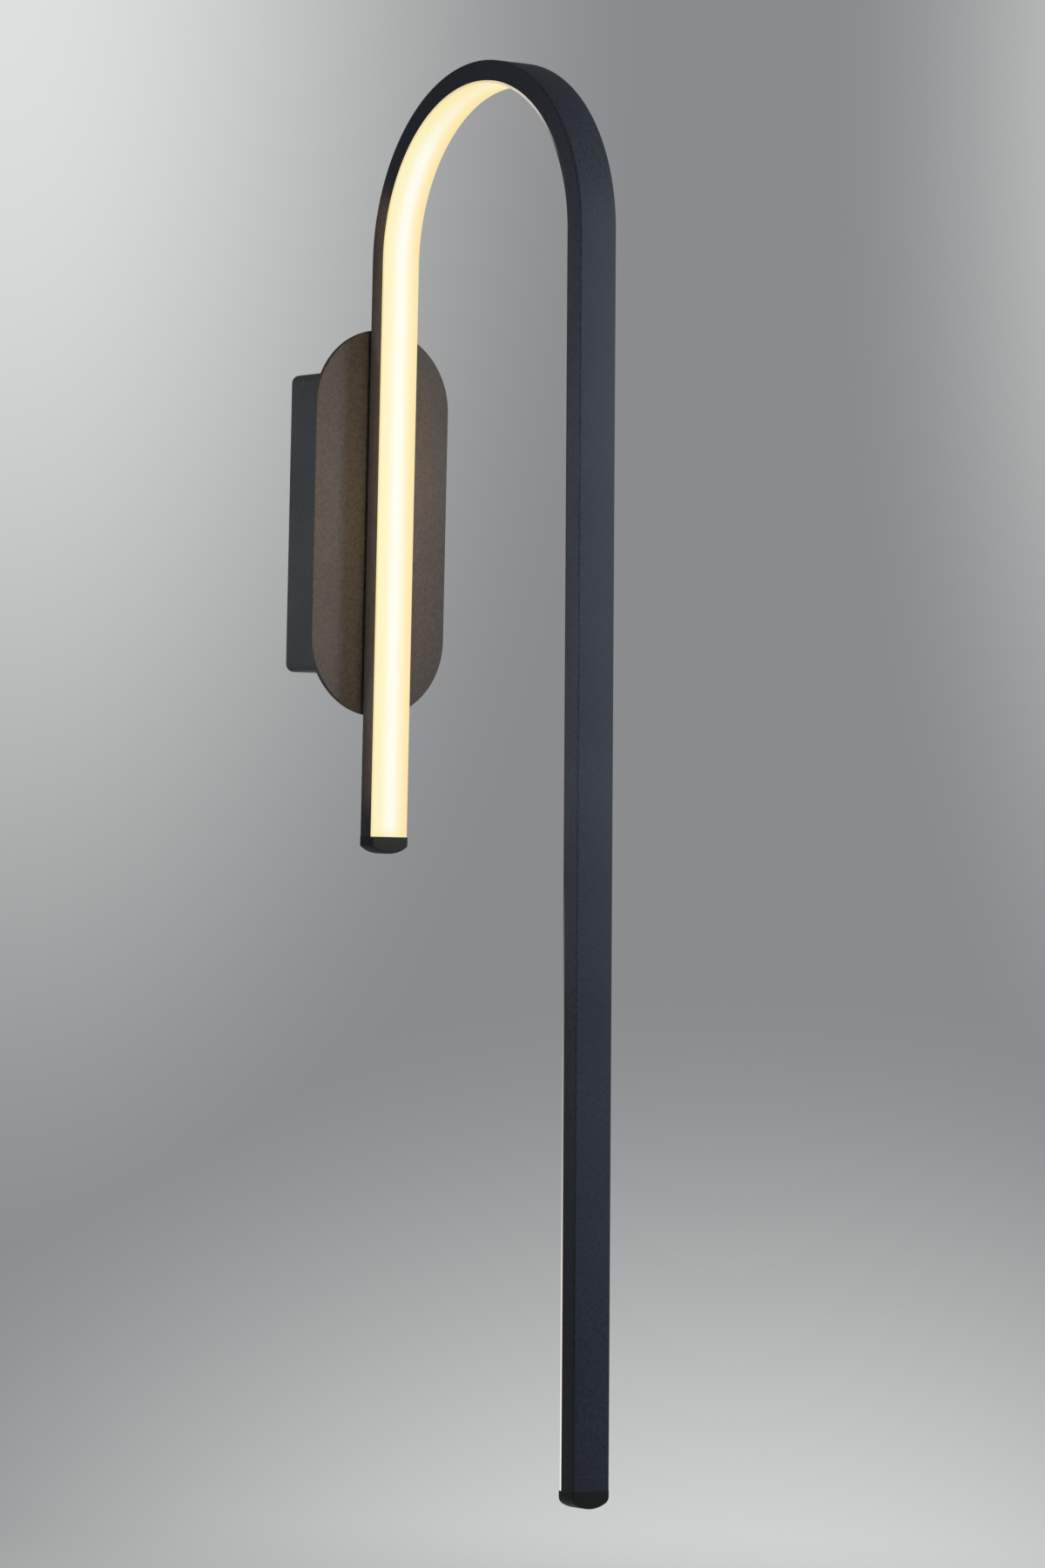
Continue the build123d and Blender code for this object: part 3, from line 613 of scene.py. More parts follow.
def combine(piece: Piece, tools: Sequence[Piece], operation: str, finish: Finish) -> None:
    """Cut tools out of a piece, or join them to it, and settle it.

    Args:
        piece: The piece.
        tools: The tools. They are removed.
        operation: DIFFERENCE or UNION.
        finish: Finish of the piece.
    """
    for tool in tools:
        boolean = piece.modifiers.new(operation.lower(), "BOOLEAN")
        boolean.object = tool
        boolean.operation = operation
        boolean.solver = "EXACT"
    settle(piece, finish)
    discard(*tools)


def enter(piece: Piece, finish: Finish, *nodes: str) -> None:
    """Put a finished piece on the light's body.

    Args:
        piece: The piece.
        finish: Its finish, named in the log.
        *nodes: CAD nodes that it stands for.
    """
    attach(piece, BODY)
    if nodes:
        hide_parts(*nodes)
    LOG.info("%s: %d faces, %s", piece.name, len(piece.data.polygons), finish.name)


def new_tree(name: str, inputs: dict[str, str]) -> tuple[Tree, dict[str, Socket]]:
    """Start a Geometry Nodes tree.

    Args:
        name: Name of the tree.
        inputs: Kind of socket for each named input, besides the geometry and the finish.

    Returns:
        The tree, and the output of its Group Input node for each input.
    """
    tree = bpy.data.node_groups.new(name, "GeometryNodeTree")
    tree.interface.new_socket("Geometry", in_out="OUTPUT", socket_type="NodeSocketGeometry")
    inputs = {"Geometry": "NodeSocketGeometry", **inputs, "Finish": "NodeSocketMaterial"}
    for label, kind in inputs.items():
        tree.interface.new_socket(label, in_out="INPUT", socket_type=kind)
    given = add_node(tree, "NodeGroupInput").outputs
    return tree, {label: given[label] for label in inputs}


def end_tree(tree: Tree, shape: Node, finish: Socket) -> Tree:
    """End a tree: instances made real, and the finish set.

    Args:
        tree: The tree.
        shape: Node that gives the shape.
        finish: The tree's input for the finish.

    Returns:
        The same tree.
    """
    real = add_node(tree, "GeometryNodeRealizeInstances", {"Geometry": shape})
    dressed = add_node(tree, "GeometryNodeSetMaterial", {"Geometry": real, "Material": finish})
    add_node(tree, "NodeGroupOutput", {"Geometry": dressed})
    return tree


def grow(name: str, tree: Tree, finish: Finish, values: dict[str, object],
         start: bpy.types.Mesh | None = None) -> Piece:
    """Make a piece with a Geometry Nodes tree.

    Args:
        name: Name of the piece.
        tree: The tree.
        finish: Finish of the piece.
        values: Value of each other named input.
        start: Mesh that the tree starts from, if it needs one.

    Returns:
        The piece with a plain mesh.
    """
    piece = add_object(name, start or bpy.data.meshes.new(name))
    nodes = piece.modifiers.new("grow", "NODES")
    nodes.node_group = tree
    values = values | {"Finish": finish.material()}
    for item in tree.interface.items_tree:
        if item.in_out == "INPUT" and item.name in values:
            nodes[item.identifier] = values[item.name]
    return settle(piece)


HOOK_INPUTS = {
    "Short leg": "NodeSocketFloat", "Bend radius": "NodeSocketFloat", "Bend angle": "NodeSocketFloat",
    "Start": "NodeSocketFloat", "End": "NodeSocketFloat", "Centre": "NodeSocketVector",
    "Steps": "NodeSocketInt", "Unit": "NodeSocketObject"}


def bend_line(tree: Tree, given: dict[str, Socket]) -> Node:
    """Add the nodes that bend a straight line into the hook.

    Args:
        tree: Tree that takes the nodes.
        given: Its inputs, with those of HOOK_INPUTS.

    Returns:
        Node that gives the curve.
    """
    start = add_node(tree, "ShaderNodeCombineXYZ", {"Z": given["Start"]})
    end = add_node(tree, "ShaderNodeCombineXYZ", {"Z": given["End"]})
    line = add_node(tree, "GeometryNodeCurvePrimitiveLine", {"Start": start, "End": end})
    points = add_node(tree, "GeometryNodeResampleCurve", {"Curve": line, "Count": given["Steps"]})
    position = add_node(tree, "GeometryNodeInputPosition")
    along = add_node(tree, "ShaderNodeSeparateXYZ", {"Vector": position}).outputs["Z"]
    past = add_node(tree, "ShaderNodeMath", {0: along, 1: given["Short leg"]}, operation="SUBTRACT")
    share = add_node(tree, "ShaderNodeMath", {0: past, 1: given["Bend radius"]}, operation="DIVIDE")
    turned = add_node(tree, "ShaderNodeClamp", {"Value": share, "Min": 0.0, "Max": given["Bend angle"]})
    bend = add_node(tree, "ShaderNodeMath", {
        0: given["Bend radius"], 1: given["Bend angle"]}, operation="MULTIPLY")
    beyond = add_node(tree, "ShaderNodeMath", {0: past, 1: bend}, operation="SUBTRACT")
    before = add_node(tree, "ShaderNodeMath", {0: past, 1: 0.0}, operation="MINIMUM")
    after = add_node(tree, "ShaderNodeMath", {0: beyond, 1: 0.0}, operation="MAXIMUM")
    run = add_node(tree, "ShaderNodeMath", {0: before, 1: after}, operation="ADD")
    reach = add_node(tree, "ShaderNodeCombineXYZ", {"Y": given["Bend radius"], "Z": run})
    swung = add_node(tree, "ShaderNodeVectorRotate", {
        "Vector": reach, "Angle": turned}, rotation_type="X_AXIS")
    placed = add_node(tree, "ShaderNodeVectorMath", {0: swung, 1: given["Centre"]}, operation="ADD")
    return add_node(tree, "GeometryNodeSetPosition", {"Geometry": points, "Position": placed})


@cache
def section_tree() -> Tree:
    """Tree that sweeps a section along the hook.

    Returns:
        The tree.
    """
    tree, given = new_tree("section along the hook", HOOK_INPUTS)
    held = add_node(tree, "GeometryNodeObjectInfo", {"Object": given["Unit"]}).outputs["Geometry"]
    loop = add_node(tree, "GeometryNodeMeshToCurve", {"Mesh": held})
    swept = add_node(tree, "GeometryNodeCurveToMesh", {
        "Curve": bend_line(tree, given), "Profile Curve": loop, "Fill Caps": True})
    return end_tree(tree, swept, given["Finish"])


@cache
def row_tree() -> Tree:
    """Tree that repeats a unit along the hook.

    Returns:
        The tree.
    """
    tree, given = new_tree("row along the hook", HOOK_INPUTS)
    held = add_node(tree, "GeometryNodeObjectInfo", {"Object": given["Unit"]}).outputs["Geometry"]
    points = add_node(tree, "GeometryNodeCurveToPoints", {"Curve": bend_line(tree, given)}, mode="EVALUATED")
    copies = add_node(tree, "GeometryNodeInstanceOnPoints", {
        "Points": points, "Instance": held, "Rotation": points.outputs["Rotation"]})
    return end_tree(tree, copies, given["Finish"])


@cache
def seats_tree() -> Tree:
    """Tree that sets a unit at each point of a mesh, turned about X.

    Returns:
        The tree.
    """
    tree, given = new_tree("units at places", {"Unit": "NodeSocketObject", "Turn": "NodeSocketString"})
    held = add_node(tree, "GeometryNodeObjectInfo", {"Object": given["Unit"]}).outputs["Geometry"]
    turn = add_node(tree, "GeometryNodeInputNamedAttribute", {"Name": given["Turn"]}, data_type="FLOAT")
    euler = add_node(tree, "ShaderNodeCombineXYZ", {"X": turn})
    facing = add_node(tree, "FunctionNodeEulerToRotation", {"Euler": euler})
    copies = add_node(tree, "GeometryNodeInstanceOnPoints", {
        "Points": given["Geometry"], "Instance": held, "Rotation": facing})
    return end_tree(tree, copies, given["Finish"])


@dataclass(frozen=True)
class Hook:
    """Line of the bent channel's outer face, from the foot of the short leg to the end of the long one."""

    short_leg: float = 274.0
    bend_radius: float = 87.0
    bend_deg: float = 178.5
    long_leg: float = 568.0
    steps: int = 420  # sections along it

    @property
    def bend_length(self) -> float:
        """Length of the bend along the outer face."""
        return self.bend_radius * math.radians(self.bend_deg)

    @property
    def length(self) -> float:
        """Length of the whole line."""
        return self.short_leg + self.bend_length + self.long_leg

    @property
    def centre(self) -> Vector:
        """Centre of the bend, in metres, from the CAD channel's back and top."""
        high = box_mm("light_channel")[1]
        return Vector((0.0, high.y - self.bend_radius, high.z - self.bend_radius)) * MM

    def frame_at(self, distance: float) -> Matrix:
        """Frame on the outer face, in metres.

        Args:
            distance: Distance from the short leg's foot.

        Returns:
            A frame with X across, Y outwards and Z along the channel.
        """
        past = distance - self.short_leg
        turned = min(max(past / self.bend_radius, 0.0), math.radians(self.bend_deg))
        run = min(past, 0.0) + max(past - self.bend_length, 0.0)
        reach = Matrix.Translation(Vector((0.0, self.bend_radius, run)) * MM)
        return Matrix.Translation(self.centre) @ Matrix.Rotation(turned, 4, "X") @ reach

    def values(self, unit: Piece, start: float, end: float, steps: int) -> dict[str, object]:
        """Values for the inputs of a tree that follows the hook.

        Args:
            unit: Section that is swept, or unit that is repeated.
            start: Distance along the hook at which the line starts.
            end: Distance at which it ends.
            steps: Points along it.

        Returns:
            The value of each input, in metres and radians.
        """
        return {"Short leg": self.short_leg * MM, "Bend radius": self.bend_radius * MM,
                "Bend angle": math.radians(self.bend_deg), "Start": start * MM, "End": end * MM,
                "Centre": self.centre, "Steps": steps, "Unit": unit}

    def sweep(self, name: str, section: Sequence[Flat], finish: Finish) -> Piece:
        """Sweep a section along the whole hook.

        Args:
            name: Name of the piece.
            section: Closed outline of X across and Y outwards.
            finish: Finish of the piece.

        Returns:
            The piece.
        """
        mesh = bpy.data.meshes.new(f"{name}_section")
        count = len(section)
        mesh.from_pydata([(x * MM, y * MM, 0.0) for x, y in section],
                         [(index, (index + 1) % count) for index in range(count)], [])
        outline = add_object(mesh.name, mesh)
        piece = grow(name, section_tree(), finish, self.values(outline, 0.0, self.length, self.steps))
        discard(outline)
        return piece

    def row(self, name: str, unit: Piece, finish: Finish, ends: Flat, count: int) -> Piece:
        """Repeat a unit along the hook, each copy square to the outer face.

        Args:
            name: Name of the piece.
            unit: Object made in the frame that frame_at() gives. It is removed.
            finish: Finish of the piece.
            ends: Distances of the first and last copies.
            count: Number of copies.

        Returns:
            The piece.
        """
        piece = grow(name, row_tree(), finish, self.values(unit, *ends, count))
        discard(unit)
        return piece


@dataclass
class LightChannel:
    """Bent aluminium U section with snap ridges, and with the screw holes of its short leg."""

    hook: Hook
    width: float = 20.0
    depth: float = 9.5
    wall: float = 1.5
    floor: float = 2.0
    edge: float = 1.0
    lip: float = 0.25
    floor_corner: float = 0.3
    ridge: float = 0.5
    ridge_height: float = 0.8
    ridge_depth: float = 1.8
    screw_pitch: float = 92.0
    screw_hole: float = 1.7
    head_hole: float = 3.1
    head_depth: float = 1.5
    lead_x: float = 6.75
    lead_hole: float = 1.66

    def section(self) -> list[Flat]:
        """Closed outline of the section: X across, Y outwards, with rounded outer edges.

        Returns:
            The outline's points.
        """
        half = self.width / 2
        inner = half - self.wall
        low = -self.depth + self.ridge_depth
        high = low + self.ridge_height
        return rounded(mirrored([
            (half, 0.0, self.edge), (half, -self.depth, self.lip), (inner, -self.depth, self.lip),
            (inner, low, 0.0), (inner - self.ridge, low, 0.0), (inner - self.ridge, high, 0.0),
            (inner, high, 0.0), (inner, -self.floor, self.floor_corner)]))

    def hole_tools(self, back: float, thickness: float, sunk: bool) -> list[Piece]:
        """Tools for the two screw holes and the lead hole, through a sheet that stands square to Y.

        Args:
            back: Level of Y of the sheet's back.
            thickness: Its thickness.
            sunk: Whether the screw holes are countersunk from its front.

        Returns:
            The tools.
        """
        low, high = -SPARE, thickness + SPARE
        lead = [Ring(self.lead_hole, low), Ring(self.lead_hole, high)]
        screw = [Ring(self.screw_hole, low), Ring(self.screw_hole, high)]
        if sunk:
            screw[1:] = [Ring(self.screw_hole, thickness - self.head_depth), Ring(self.head_hole, thickness),
                         Ring(self.head_hole, high)]
        half_pitch = self.screw_pitch / 2
        facing = Matrix.Rotation(math.radians(Facing.ROOM.value), 4, "X")
        tools = []
        for x, z, hole in ((0.0, -half_pitch, screw), (0.0, half_pitch, screw), (self.lead_x, 0.0, lead)):
            tool = lathe("hole_tool", [Ring(0.0, low), *hole, Ring(0.0, high)])
            tool.data.transform(Matrix.Translation(Vector((x, back, z)) * MM) @ facing)
            tools.append(tool)
        return tools

    def build(self) -> None:
        """Sweep the channel and drill it."""
        piece = self.hook.sweep("channel_profile", self.section(), COATED_ALUMINIUM)
        tools = self.hole_tools(box_mm("light_channel")[1].y, self.floor, sunk=True)
        combine(piece, tools, "DIFFERENCE", COATED_ALUMINIUM)
        enter(piece, COATED_ALUMINIUM, "light_channel")


@dataclass
class LightDiffuser:
    """Opal lens: a lid over the channel's open side, with two barbed legs that snap in."""

    hook: Hook
    channel: LightChannel
    thickness: float = 1.2
    edge: float = 0.6
    back_edge: float = 0.15
    leg: float = 1.0
    leg_tip: float = 0.2
    leg_root: float = 0.3
    barb: float = 0.5
    barb_height: float = 1.0
    seat: float = 0.1
    snap_gap: float = 0.2

    def section(self) -> list[Flat]:
        """Closed outline of the section, as LightChannel.section has it.

        Returns:
            The outline's points.
        """
        channel = self.channel
        half = channel.width / 2
        back = -channel.depth - self.seat
        out = half - channel.wall - channel.ridge - self.snap_gap
        snap = -channel.depth + channel.ridge_depth + channel.ridge_height + self.snap_gap
        tip = snap + self.barb_height
        return rounded(mirrored([
            (half, back - self.thickness, self.edge), (half, back, self.back_edge), (out, back, 0.0),
            (out, snap, 0.0), (out + self.barb, snap, 0.0), (out, tip, 0.0),
            (out - self.leg, tip, self.leg_tip), (out - self.leg, back, self.leg_root)]))

    def build(self) -> None:
        """Sweep the lens."""
        piece = self.hook.sweep("opal_lens", self.section(), LIT_OPAL)
        enter(piece, LIT_OPAL, "light_diffuser")


@dataclass
class LedRow:
    """LED packages along the strip: a white body and a yellow window each."""

    hook: Hook
    strip_front: float = 2.6  # depth of the solder under the packages
    start: float = 10.0  # of the strip, from the channel's end
    width: float = 3.5
    length: float = 2.8
    height: float = 0.8
    pitch: float = 16.6
    bevel: float = 0.15
    window: float = 2.3
    window_corner: float = 0.92
    window_rise: float = 0.04
    corner_step_deg: float = 45.0

    def build(self) -> None:
        """Set the packages along the hook."""
        lit = self.hook.length - 2 * self.start - self.length
        count = int(lit // self.pitch) + 1
        first = self.start + self.length / 2 + (lit - (count - 1) * self.pitch) / 2
        ends = (first, first + (count - 1) * self.pitch)
        top = self.strip_front + self.height
        outline = rectangle(self.width, self.length, self.bevel, self.corner_step_deg)
        body = prism("led_body_unit", outline, -self.strip_front, -top)
        outline = rectangle(self.window, self.window, self.window_corner, self.corner_step_deg)
        window = prism("led_window_unit", outline, self.height / 2 - top, -top - self.window_rise)
        bodies = self.hook.row("led_bodies", body, STRIP_BOARD, ends, count)
        windows = self.hook.row("led_windows", window, LED_PHOSPHOR, ends, count)
        enter(bodies, STRIP_BOARD, "led_chips")
        enter(windows, LED_PHOSPHOR)


@dataclass
class EndCap:
    """Moulded cap with a rounded end, and the plug that holds it in the channel."""

    hook: Hook
    leg: Leg
    corner: float
    width: float = 20.0
    depth: float = 11.7
    side: float = 4.5
    height: float = 8.0
    edge: float = 0.7
    sharp: float = 1.0  # level up to which the rims stay sharp, at the channel's end
    plug_width: float = 16.6
    plug_depths: Flat = (2.2, 5.5)
    plug_length: float = 8.0
    plug_root: float = 0.5
    plug_corner: float = 0.4
    arc_points: int = 11

    def outline(self) -> list[Flat]:
        """Outline of X and Z, with the channel's end at Z = 0.

        Returns:
            The outline's points.
        """
        half, rise = self.width / 2, self.height - self.side
        radius = (half ** 2 + rise ** 2) / (2 * rise)
        spread = math.asin(half / radius)
        turns = [spread * (1 - 2 * i / (self.arc_points - 1)) for i in range(self.arc_points)]
        arc = [(radius * math.sin(turn), self.height - radius * (1 - math.cos(turn)), 0.0) for turn in turns]
        arc[0], arc[-1] = (half, self.side, self.corner), (-half, self.side, self.corner)
        return rounded([(-half, 0.0, 0.0), (half, 0.0, 0.0)] + arc)

    def build(self) -> None:
        """Mould the cap with rounded rims and join its plug."""
        place = self.hook.frame_at(self.hook.length)
        if self.leg is Leg.SHORT:
            place = self.hook.frame_at(0.0) @ Matrix.Rotation(math.pi, 4, "Y")
        piece = prism(f"{self.leg.value}_moulding", self.outline(), 0.0, -self.depth)
        round_rims(piece, (0.0, -self.depth), self.edge, self.sharp)
        half = self.plug_width / 2
        corners = [(-half, -self.plug_length, self.plug_corner), (half, -self.plug_length, self.plug_corner),
                   (half, self.plug_root, 0.0), (-half, self.plug_root, 0.0)]
        plug = prism("plug_tool", rounded(corners), -self.plug_depths[0], -self.plug_depths[1])
        combine(piece, [plug], "UNION", CAP_PLASTIC)
        piece.data.transform(place)
        enter(piece, CAP_PLASTIC, self.leg.value)


@dataclass
class FrontPlate:
    """Obround plate with a rounded front rim and three holes."""

    channel: LightChannel
    edge: float = 0.6
    arc_step_deg: float = 2.5

    def build(self) -> None:
        """Cut the plate, round its rim and drill it."""
        low, high = box_mm("front_plate")
        # The CAD plate's ends have flat sides, so its box falls a little short of the full height
        height = 2 * round(high.z, 1)
        outline = rectangle(2 * high.x, height, high.x, self.arc_step_deg)
        piece = prism("plate", outline, high.y, low.y)
        round_rims(piece, (low.y,), self.edge)
        tools = self.channel.hole_tools(high.y, high.y - low.y, sunk=False)
        combine(piece, tools, "DIFFERENCE", COATED_STEEL)
        enter(piece, COATED_STEEL, "front_plate")


@dataclass
class Fasteners:
    """Screws, nuts, washers and collars, each turned once and set at its seats."""

    channel: LightChannel
    screw: float = 1.5
    nut_half: float = 2.75
    nut_height: float = 2.4
    thread_gap: float = 0.05
    washer: float = 3.4
    washer_height: float = 0.5
    collar: float = 4.5
    collar_height: float = 3.0
    head: float = 2.9
    pan_height: float = 1.8
    pan_length: float = 4.0
    crown: float = 0.6  # radius of the pan head's rim
    sink_height: float = 1.5
    land: float = 0.1  # straight rim of the countersunk head
    socket_half: float = 1.0
    socket_depth: float = 0.9
    edge: float = 0.25

    def nut(self) -> Piece:
        """Hexagon nut on the level 0.

        Returns:
            The nut.
        """
        half, edge, top = self.nut_half, self.edge, self.nut_height
        bore = self.screw + self.thread_gap
        return lathe("nut_unit", [
            Ring(half - edge, 0.0), Ring(half, edge, Round.HEXAGON), Ring(half, top - edge, Round.HEXAGON),
            Ring(half - edge, top), Ring(bore + edge, top), Ring(bore, top - edge), Ring(bore, edge),
            Ring(bore + edge, 0.0)], closed=True)

    def tube(self, radius: float, height: float) -> Piece:
        """Washer or collar on the level 0, with its outer rims broken.

        Args:
            radius: Its outer radius.
            height: Its height.

        Returns:
            The washer or collar.
        """
        edge = min(self.edge, height / 4)
        bore = self.channel.screw_hole
        return lathe("tube_unit", [
            Ring(radius - edge, 0.0), Ring(radius, edge), Ring(radius, height - edge),
            Ring(radius - edge, height), Ring(bore, height), Ring(bore, 0.0)], closed=True)

    def screw_unit(self, length: float, head: Sequence[Ring]) -> Piece:
        """Screw with its tip below the level 0 and a hexagon socket in its head.

        Args:
            length: Depth of the tip.
            head: Levels of the head, from the shank to the top.

        Returns:
            The screw.
        """
        shank = [Ring(0.0, -length), Ring(self.screw - self.edge, -length),
                 Ring(self.screw, self.edge - length)]
        top = head[-1].level
        bottom = top - self.socket_depth
        socket = [Ring(self.socket_half, top, Round.HEXAGON), Ring(self.socket_half, bottom, Round.HEXAGON),
                  Ring(0.0, bottom)]
        return lathe("screw_unit", [*shank, *head, *socket])

    def pan_screw(self) -> Piece:
        """Pan-head screw seated on the level 0.

        Returns:
            The screw.
        """
        turns = [math.radians(ARC_STEP_DEG * i) for i in range(round(90 / ARC_STEP_DEG) + 1)]
        dome = [Ring(self.head - self.crown * (1 - math.cos(turn)),
                     self.pan_height - self.crown * (1 - math.sin(turn))) for turn in turns]
        return self.screw_unit(self.pan_length, [Ring(self.screw, 0.0), Ring(self.head, 0.0), *dome])

    def sunk_screw(self, length: float) -> Piece:
        """Countersunk screw with its head flush at the level 0."""
        return self.screw_unit(length, [
            Ring(self.screw, -self.sink_height), Ring(self.head, -self.land), Ring(self.head, 0.0)])

    def floor_seats(self, node: str) -> list[Seat]:
        """Seats of what stands on the wall box's floor, from the box of its CAD node.

        Args:
            node: The CAD node: two nuts at opposite corners for the driver, and otherwise one piece.

        Returns:
            The seats.
        """
        low, high = box_mm(node)
        middle = (low + high) / 2
        places = [(middle.x, middle.z)]
        if node == "driver_nuts":
            across = self.nut_half / math.cos(SIXTH / 2)
            places = [(low.x + across, high.z - self.nut_half), (high.x - across, low.z + self.nut_half)]
        return [Seat((x, high.y, z), Facing.ROOM) for x, z in places]

    @staticmethod
    def set_out(node: str, unit: Piece, finish: Finish, seats: Sequence[Seat]) -> None:
        """Set copies of a unit at their seats.

        Args:
            node: CAD node that the copies stand for.
            unit: Piece made about Z on the level 0. It is removed.
            finish: Finish of the copies.
            seats: Seat of each copy.
        """
        mesh = bpy.data.meshes.new(f"{node}_seats")
        mesh.from_pydata([Vector(seat.place) * MM for seat in seats], [], [])
        turns = mesh.attributes.new(TURN, "FLOAT", "POINT")
        turns.data.foreach_set("value", [math.radians(seat.facing.value) for seat in seats])
        piece = grow(f"{node}_turned", seats_tree(), finish, {"Unit": unit, "Turn": TURN}, mesh)
        discard(unit)
        enter(piece, finish, node)

    def build(self) -> None:
        """Make every set of fasteners."""
        floor = box_mm("light_channel")[1].y - self.channel.floor
        tip = box_mm("channel_screws")[1].y
        plate = box_mm("front_plate")[0].y
        web = box_mm("channel_washers")[0].y
        half_pitch = self.channel.screw_pitch / 2
        collar = self.tube(self.collar, self.collar_height)
        washer = self.tube(self.washer, self.washer_height)
        for node, unit, finish, level, facing in (
                ("channel_screws", self.sunk_screw(tip - floor), ZINC_STEEL, floor, Facing.ROOM),
                ("standoff_spacers", collar, BLACK_SCREW, plate, Facing.ROOM),
                ("channel_washers", washer, ZINC_STEEL, web, Facing.WALL),
                ("channel_nuts", self.nut(), ZINC_STEEL, web + self.washer_height, Facing.WALL)):
            seats = [Seat((0.0, level, z), facing) for z in (-half_pitch, half_pitch)]
            self.set_out(node, unit, finish, seats)
        pan = box_mm("back_pan")[1].z
        low, high = box_mm("cover_screws")
        screw_y = (low.y + high.y) / 2
        self.set_out("cover_screws", self.pan_screw(), BLACK_SCREW, [
            Seat((0.0, screw_y, pan), Facing.UP), Seat((0.0, screw_y, -pan), Facing.DOWN)])
        for node in ("driver_nuts", "terminal_nut", "earth_nut"):
            self.set_out(node, self.nut(), ZINC_STEEL, self.floor_seats(node))
        self.set_out("earth_washer", self.tube(self.washer, self.washer_height), ZINC_STEEL,
                     self.floor_seats("earth_washer"))


@dataclass
class WallBox:
    """Wall box and what is inside it: CAD solids that keep their shape and take a finish."""

    def finishes(self) -> dict[str, Finish]:
        """Finish of each CAD node that stays."""
        return {
            "back_pan": COATED_STEEL, "cable_grommet": GROMMET_RUBBER, "cover_bracket": ZINC_STEEL,
            "led_strip": STRIP_BOARD, "solder_joints": SOLDER, "lead_sleeve": SLEEVE_PLASTIC,
            "driver_case": DRIVER_PLASTIC, "driver_lid": DRIVER_PLASTIC, "driver_board": CIRCUIT_BOARD,
            "terminal_block": TERMINAL_PLASTIC, "terminal_inserts": TERMINAL_BRASS,
            "terminal_screws": ZINC_STEEL, "earth_tag": TERMINAL_BRASS, "earth_lead": EARTH_PVC}

    def split_leads(self, node: str, tones: tuple[Finish, Finish]) -> None:
        """Give the two leads of a CAD node a finish each, on a merged copy.

        Args:
            node: CAD node with two leads.
            tones: Finish of the lead that comes first in the mesh, and of the other.
        """
        piece = add_object(f"{node}_pair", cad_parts[node].data.copy())
        settle(piece, tones[0])
        piece.data.materials.append(tones[1].material())
        shape = bmesh.new()
        shape.from_mesh(piece.data)
        shape.faces.ensure_lookup_table()
        first = {shape.faces[0]}
        reached = list(first)
        while reached:
            face = reached.pop()
            beside = {other for edge in face.edges for other in edge.link_faces} - first
            first |= beside
            reached += beside
        for face in shape.faces:
            face.material_index = 0 if face in first else 1
        shape.to_mesh(piece.data)
        shape.free()
        enter(piece, tones[0], node)

    def build(self) -> None:
        """Dress the CAD nodes that stay, and the two pairs of leads."""
        for node, finish in self.finishes().items():
            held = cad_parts[node]
            held.data.materials.clear()
            held.data.materials.append(finish.material())
            LOG.info("%s: CAD solid, %s", node, finish.name)
        self.split_leads("supply_leads", (BROWN_PVC, BLUE_PVC))
        self.split_leads("led_leads", (RED_PVC, BLACK_PVC))


@dataclass(frozen=True)
class Lamp:
    """Soft rectangular lamp that the camera doesn't see."""

    name: str
    at: Point
    aim: Point
    size: Flat
    watts: float
    colour: str
    spread_deg: float = 180.0

    def build(self) -> None:
        """Put the lamp in the scene."""
        light = bpy.data.lights.new(self.name, "AREA")
        light.shape = "RECTANGLE"
        light.size, light.size_y = (side * MM for side in self.size)
        light.energy = self.watts
        light.spread = math.radians(self.spread_deg)
        light.color = linear(self.colour)[:3]
        lamp = add_object(self.name, light)
        lamp.location = Vector(self.at) * MM
        lamp.rotation_euler = (Vector(self.aim) - Vector(self.at)).to_track_quat("-Z", "Y").to_euler()
        lamp.visible_camera = False


# Two keys from the right, narrow fills for the left of the box and of the long leg, a broad fill from the
# left, one from behind, and four small warm lamps for the light that the lens throws on plate and leg.
LAMPS = (
    Lamp("right_key", (450.0, -620.0, 10.0), (0.0, -150.0, -20.0), (90.0, 420.0), 0.77, "D2E6FF", 120.0),
    Lamp("high_key", (520.0, -560.0, 180.0), (0.0, -190.0, 0.0), (90.0, 300.0), 0.7, "FFFFF0", 120.0),
    Lamp("box_fill", (-420.0, 160.0, 0.0), (-27.0, -20.0, 0.0), (80.0, 165.0), 0.015, "E4F5FF", 12.0),
    Lamp("long_fill", (-640.0, -240.0, -45.0), (0.0, -230.0, -45.0), (40.0, 330.0), 0.08, "FAFCFF", 32.0),
    Lamp("left_front", (-650.0, -300.0, -20.0), (0.0, -150.0, -30.0), (300.0, 300.0), 0.09, "FFFFFF", 80.0),
    Lamp("back_fill", (250.0, 900.0, -50.0), (0.0, 0.0, -50.0), (300.0, 500.0), 1.2, "FFFFFF", 90.0),
    Lamp("lens_warmth", (0.0, -190.0, 0.0), (0.0, -41.0, 0.0), (60.0, 200.0), 0.06, "FFD0B0"),
    Lamp("left_warmth", (-36.0, -140.0, 10.0), (-24.0, -41.0, 10.0), (30.0, 205.0), 0.06, "FFD6A4", 120.0),
    Lamp("leg_warmth", (-80.0, -57.0, 10.0), (-10.0, -54.0, 10.0), (8.0, 288.0), 0.012, "FFC080", 20.0),
    Lamp("right_warmth", (18.0, -62.0, 0.0), (24.0, -41.0, 0.0), (6.0, 150.0), 0.008, "FFAE68", 160.0))


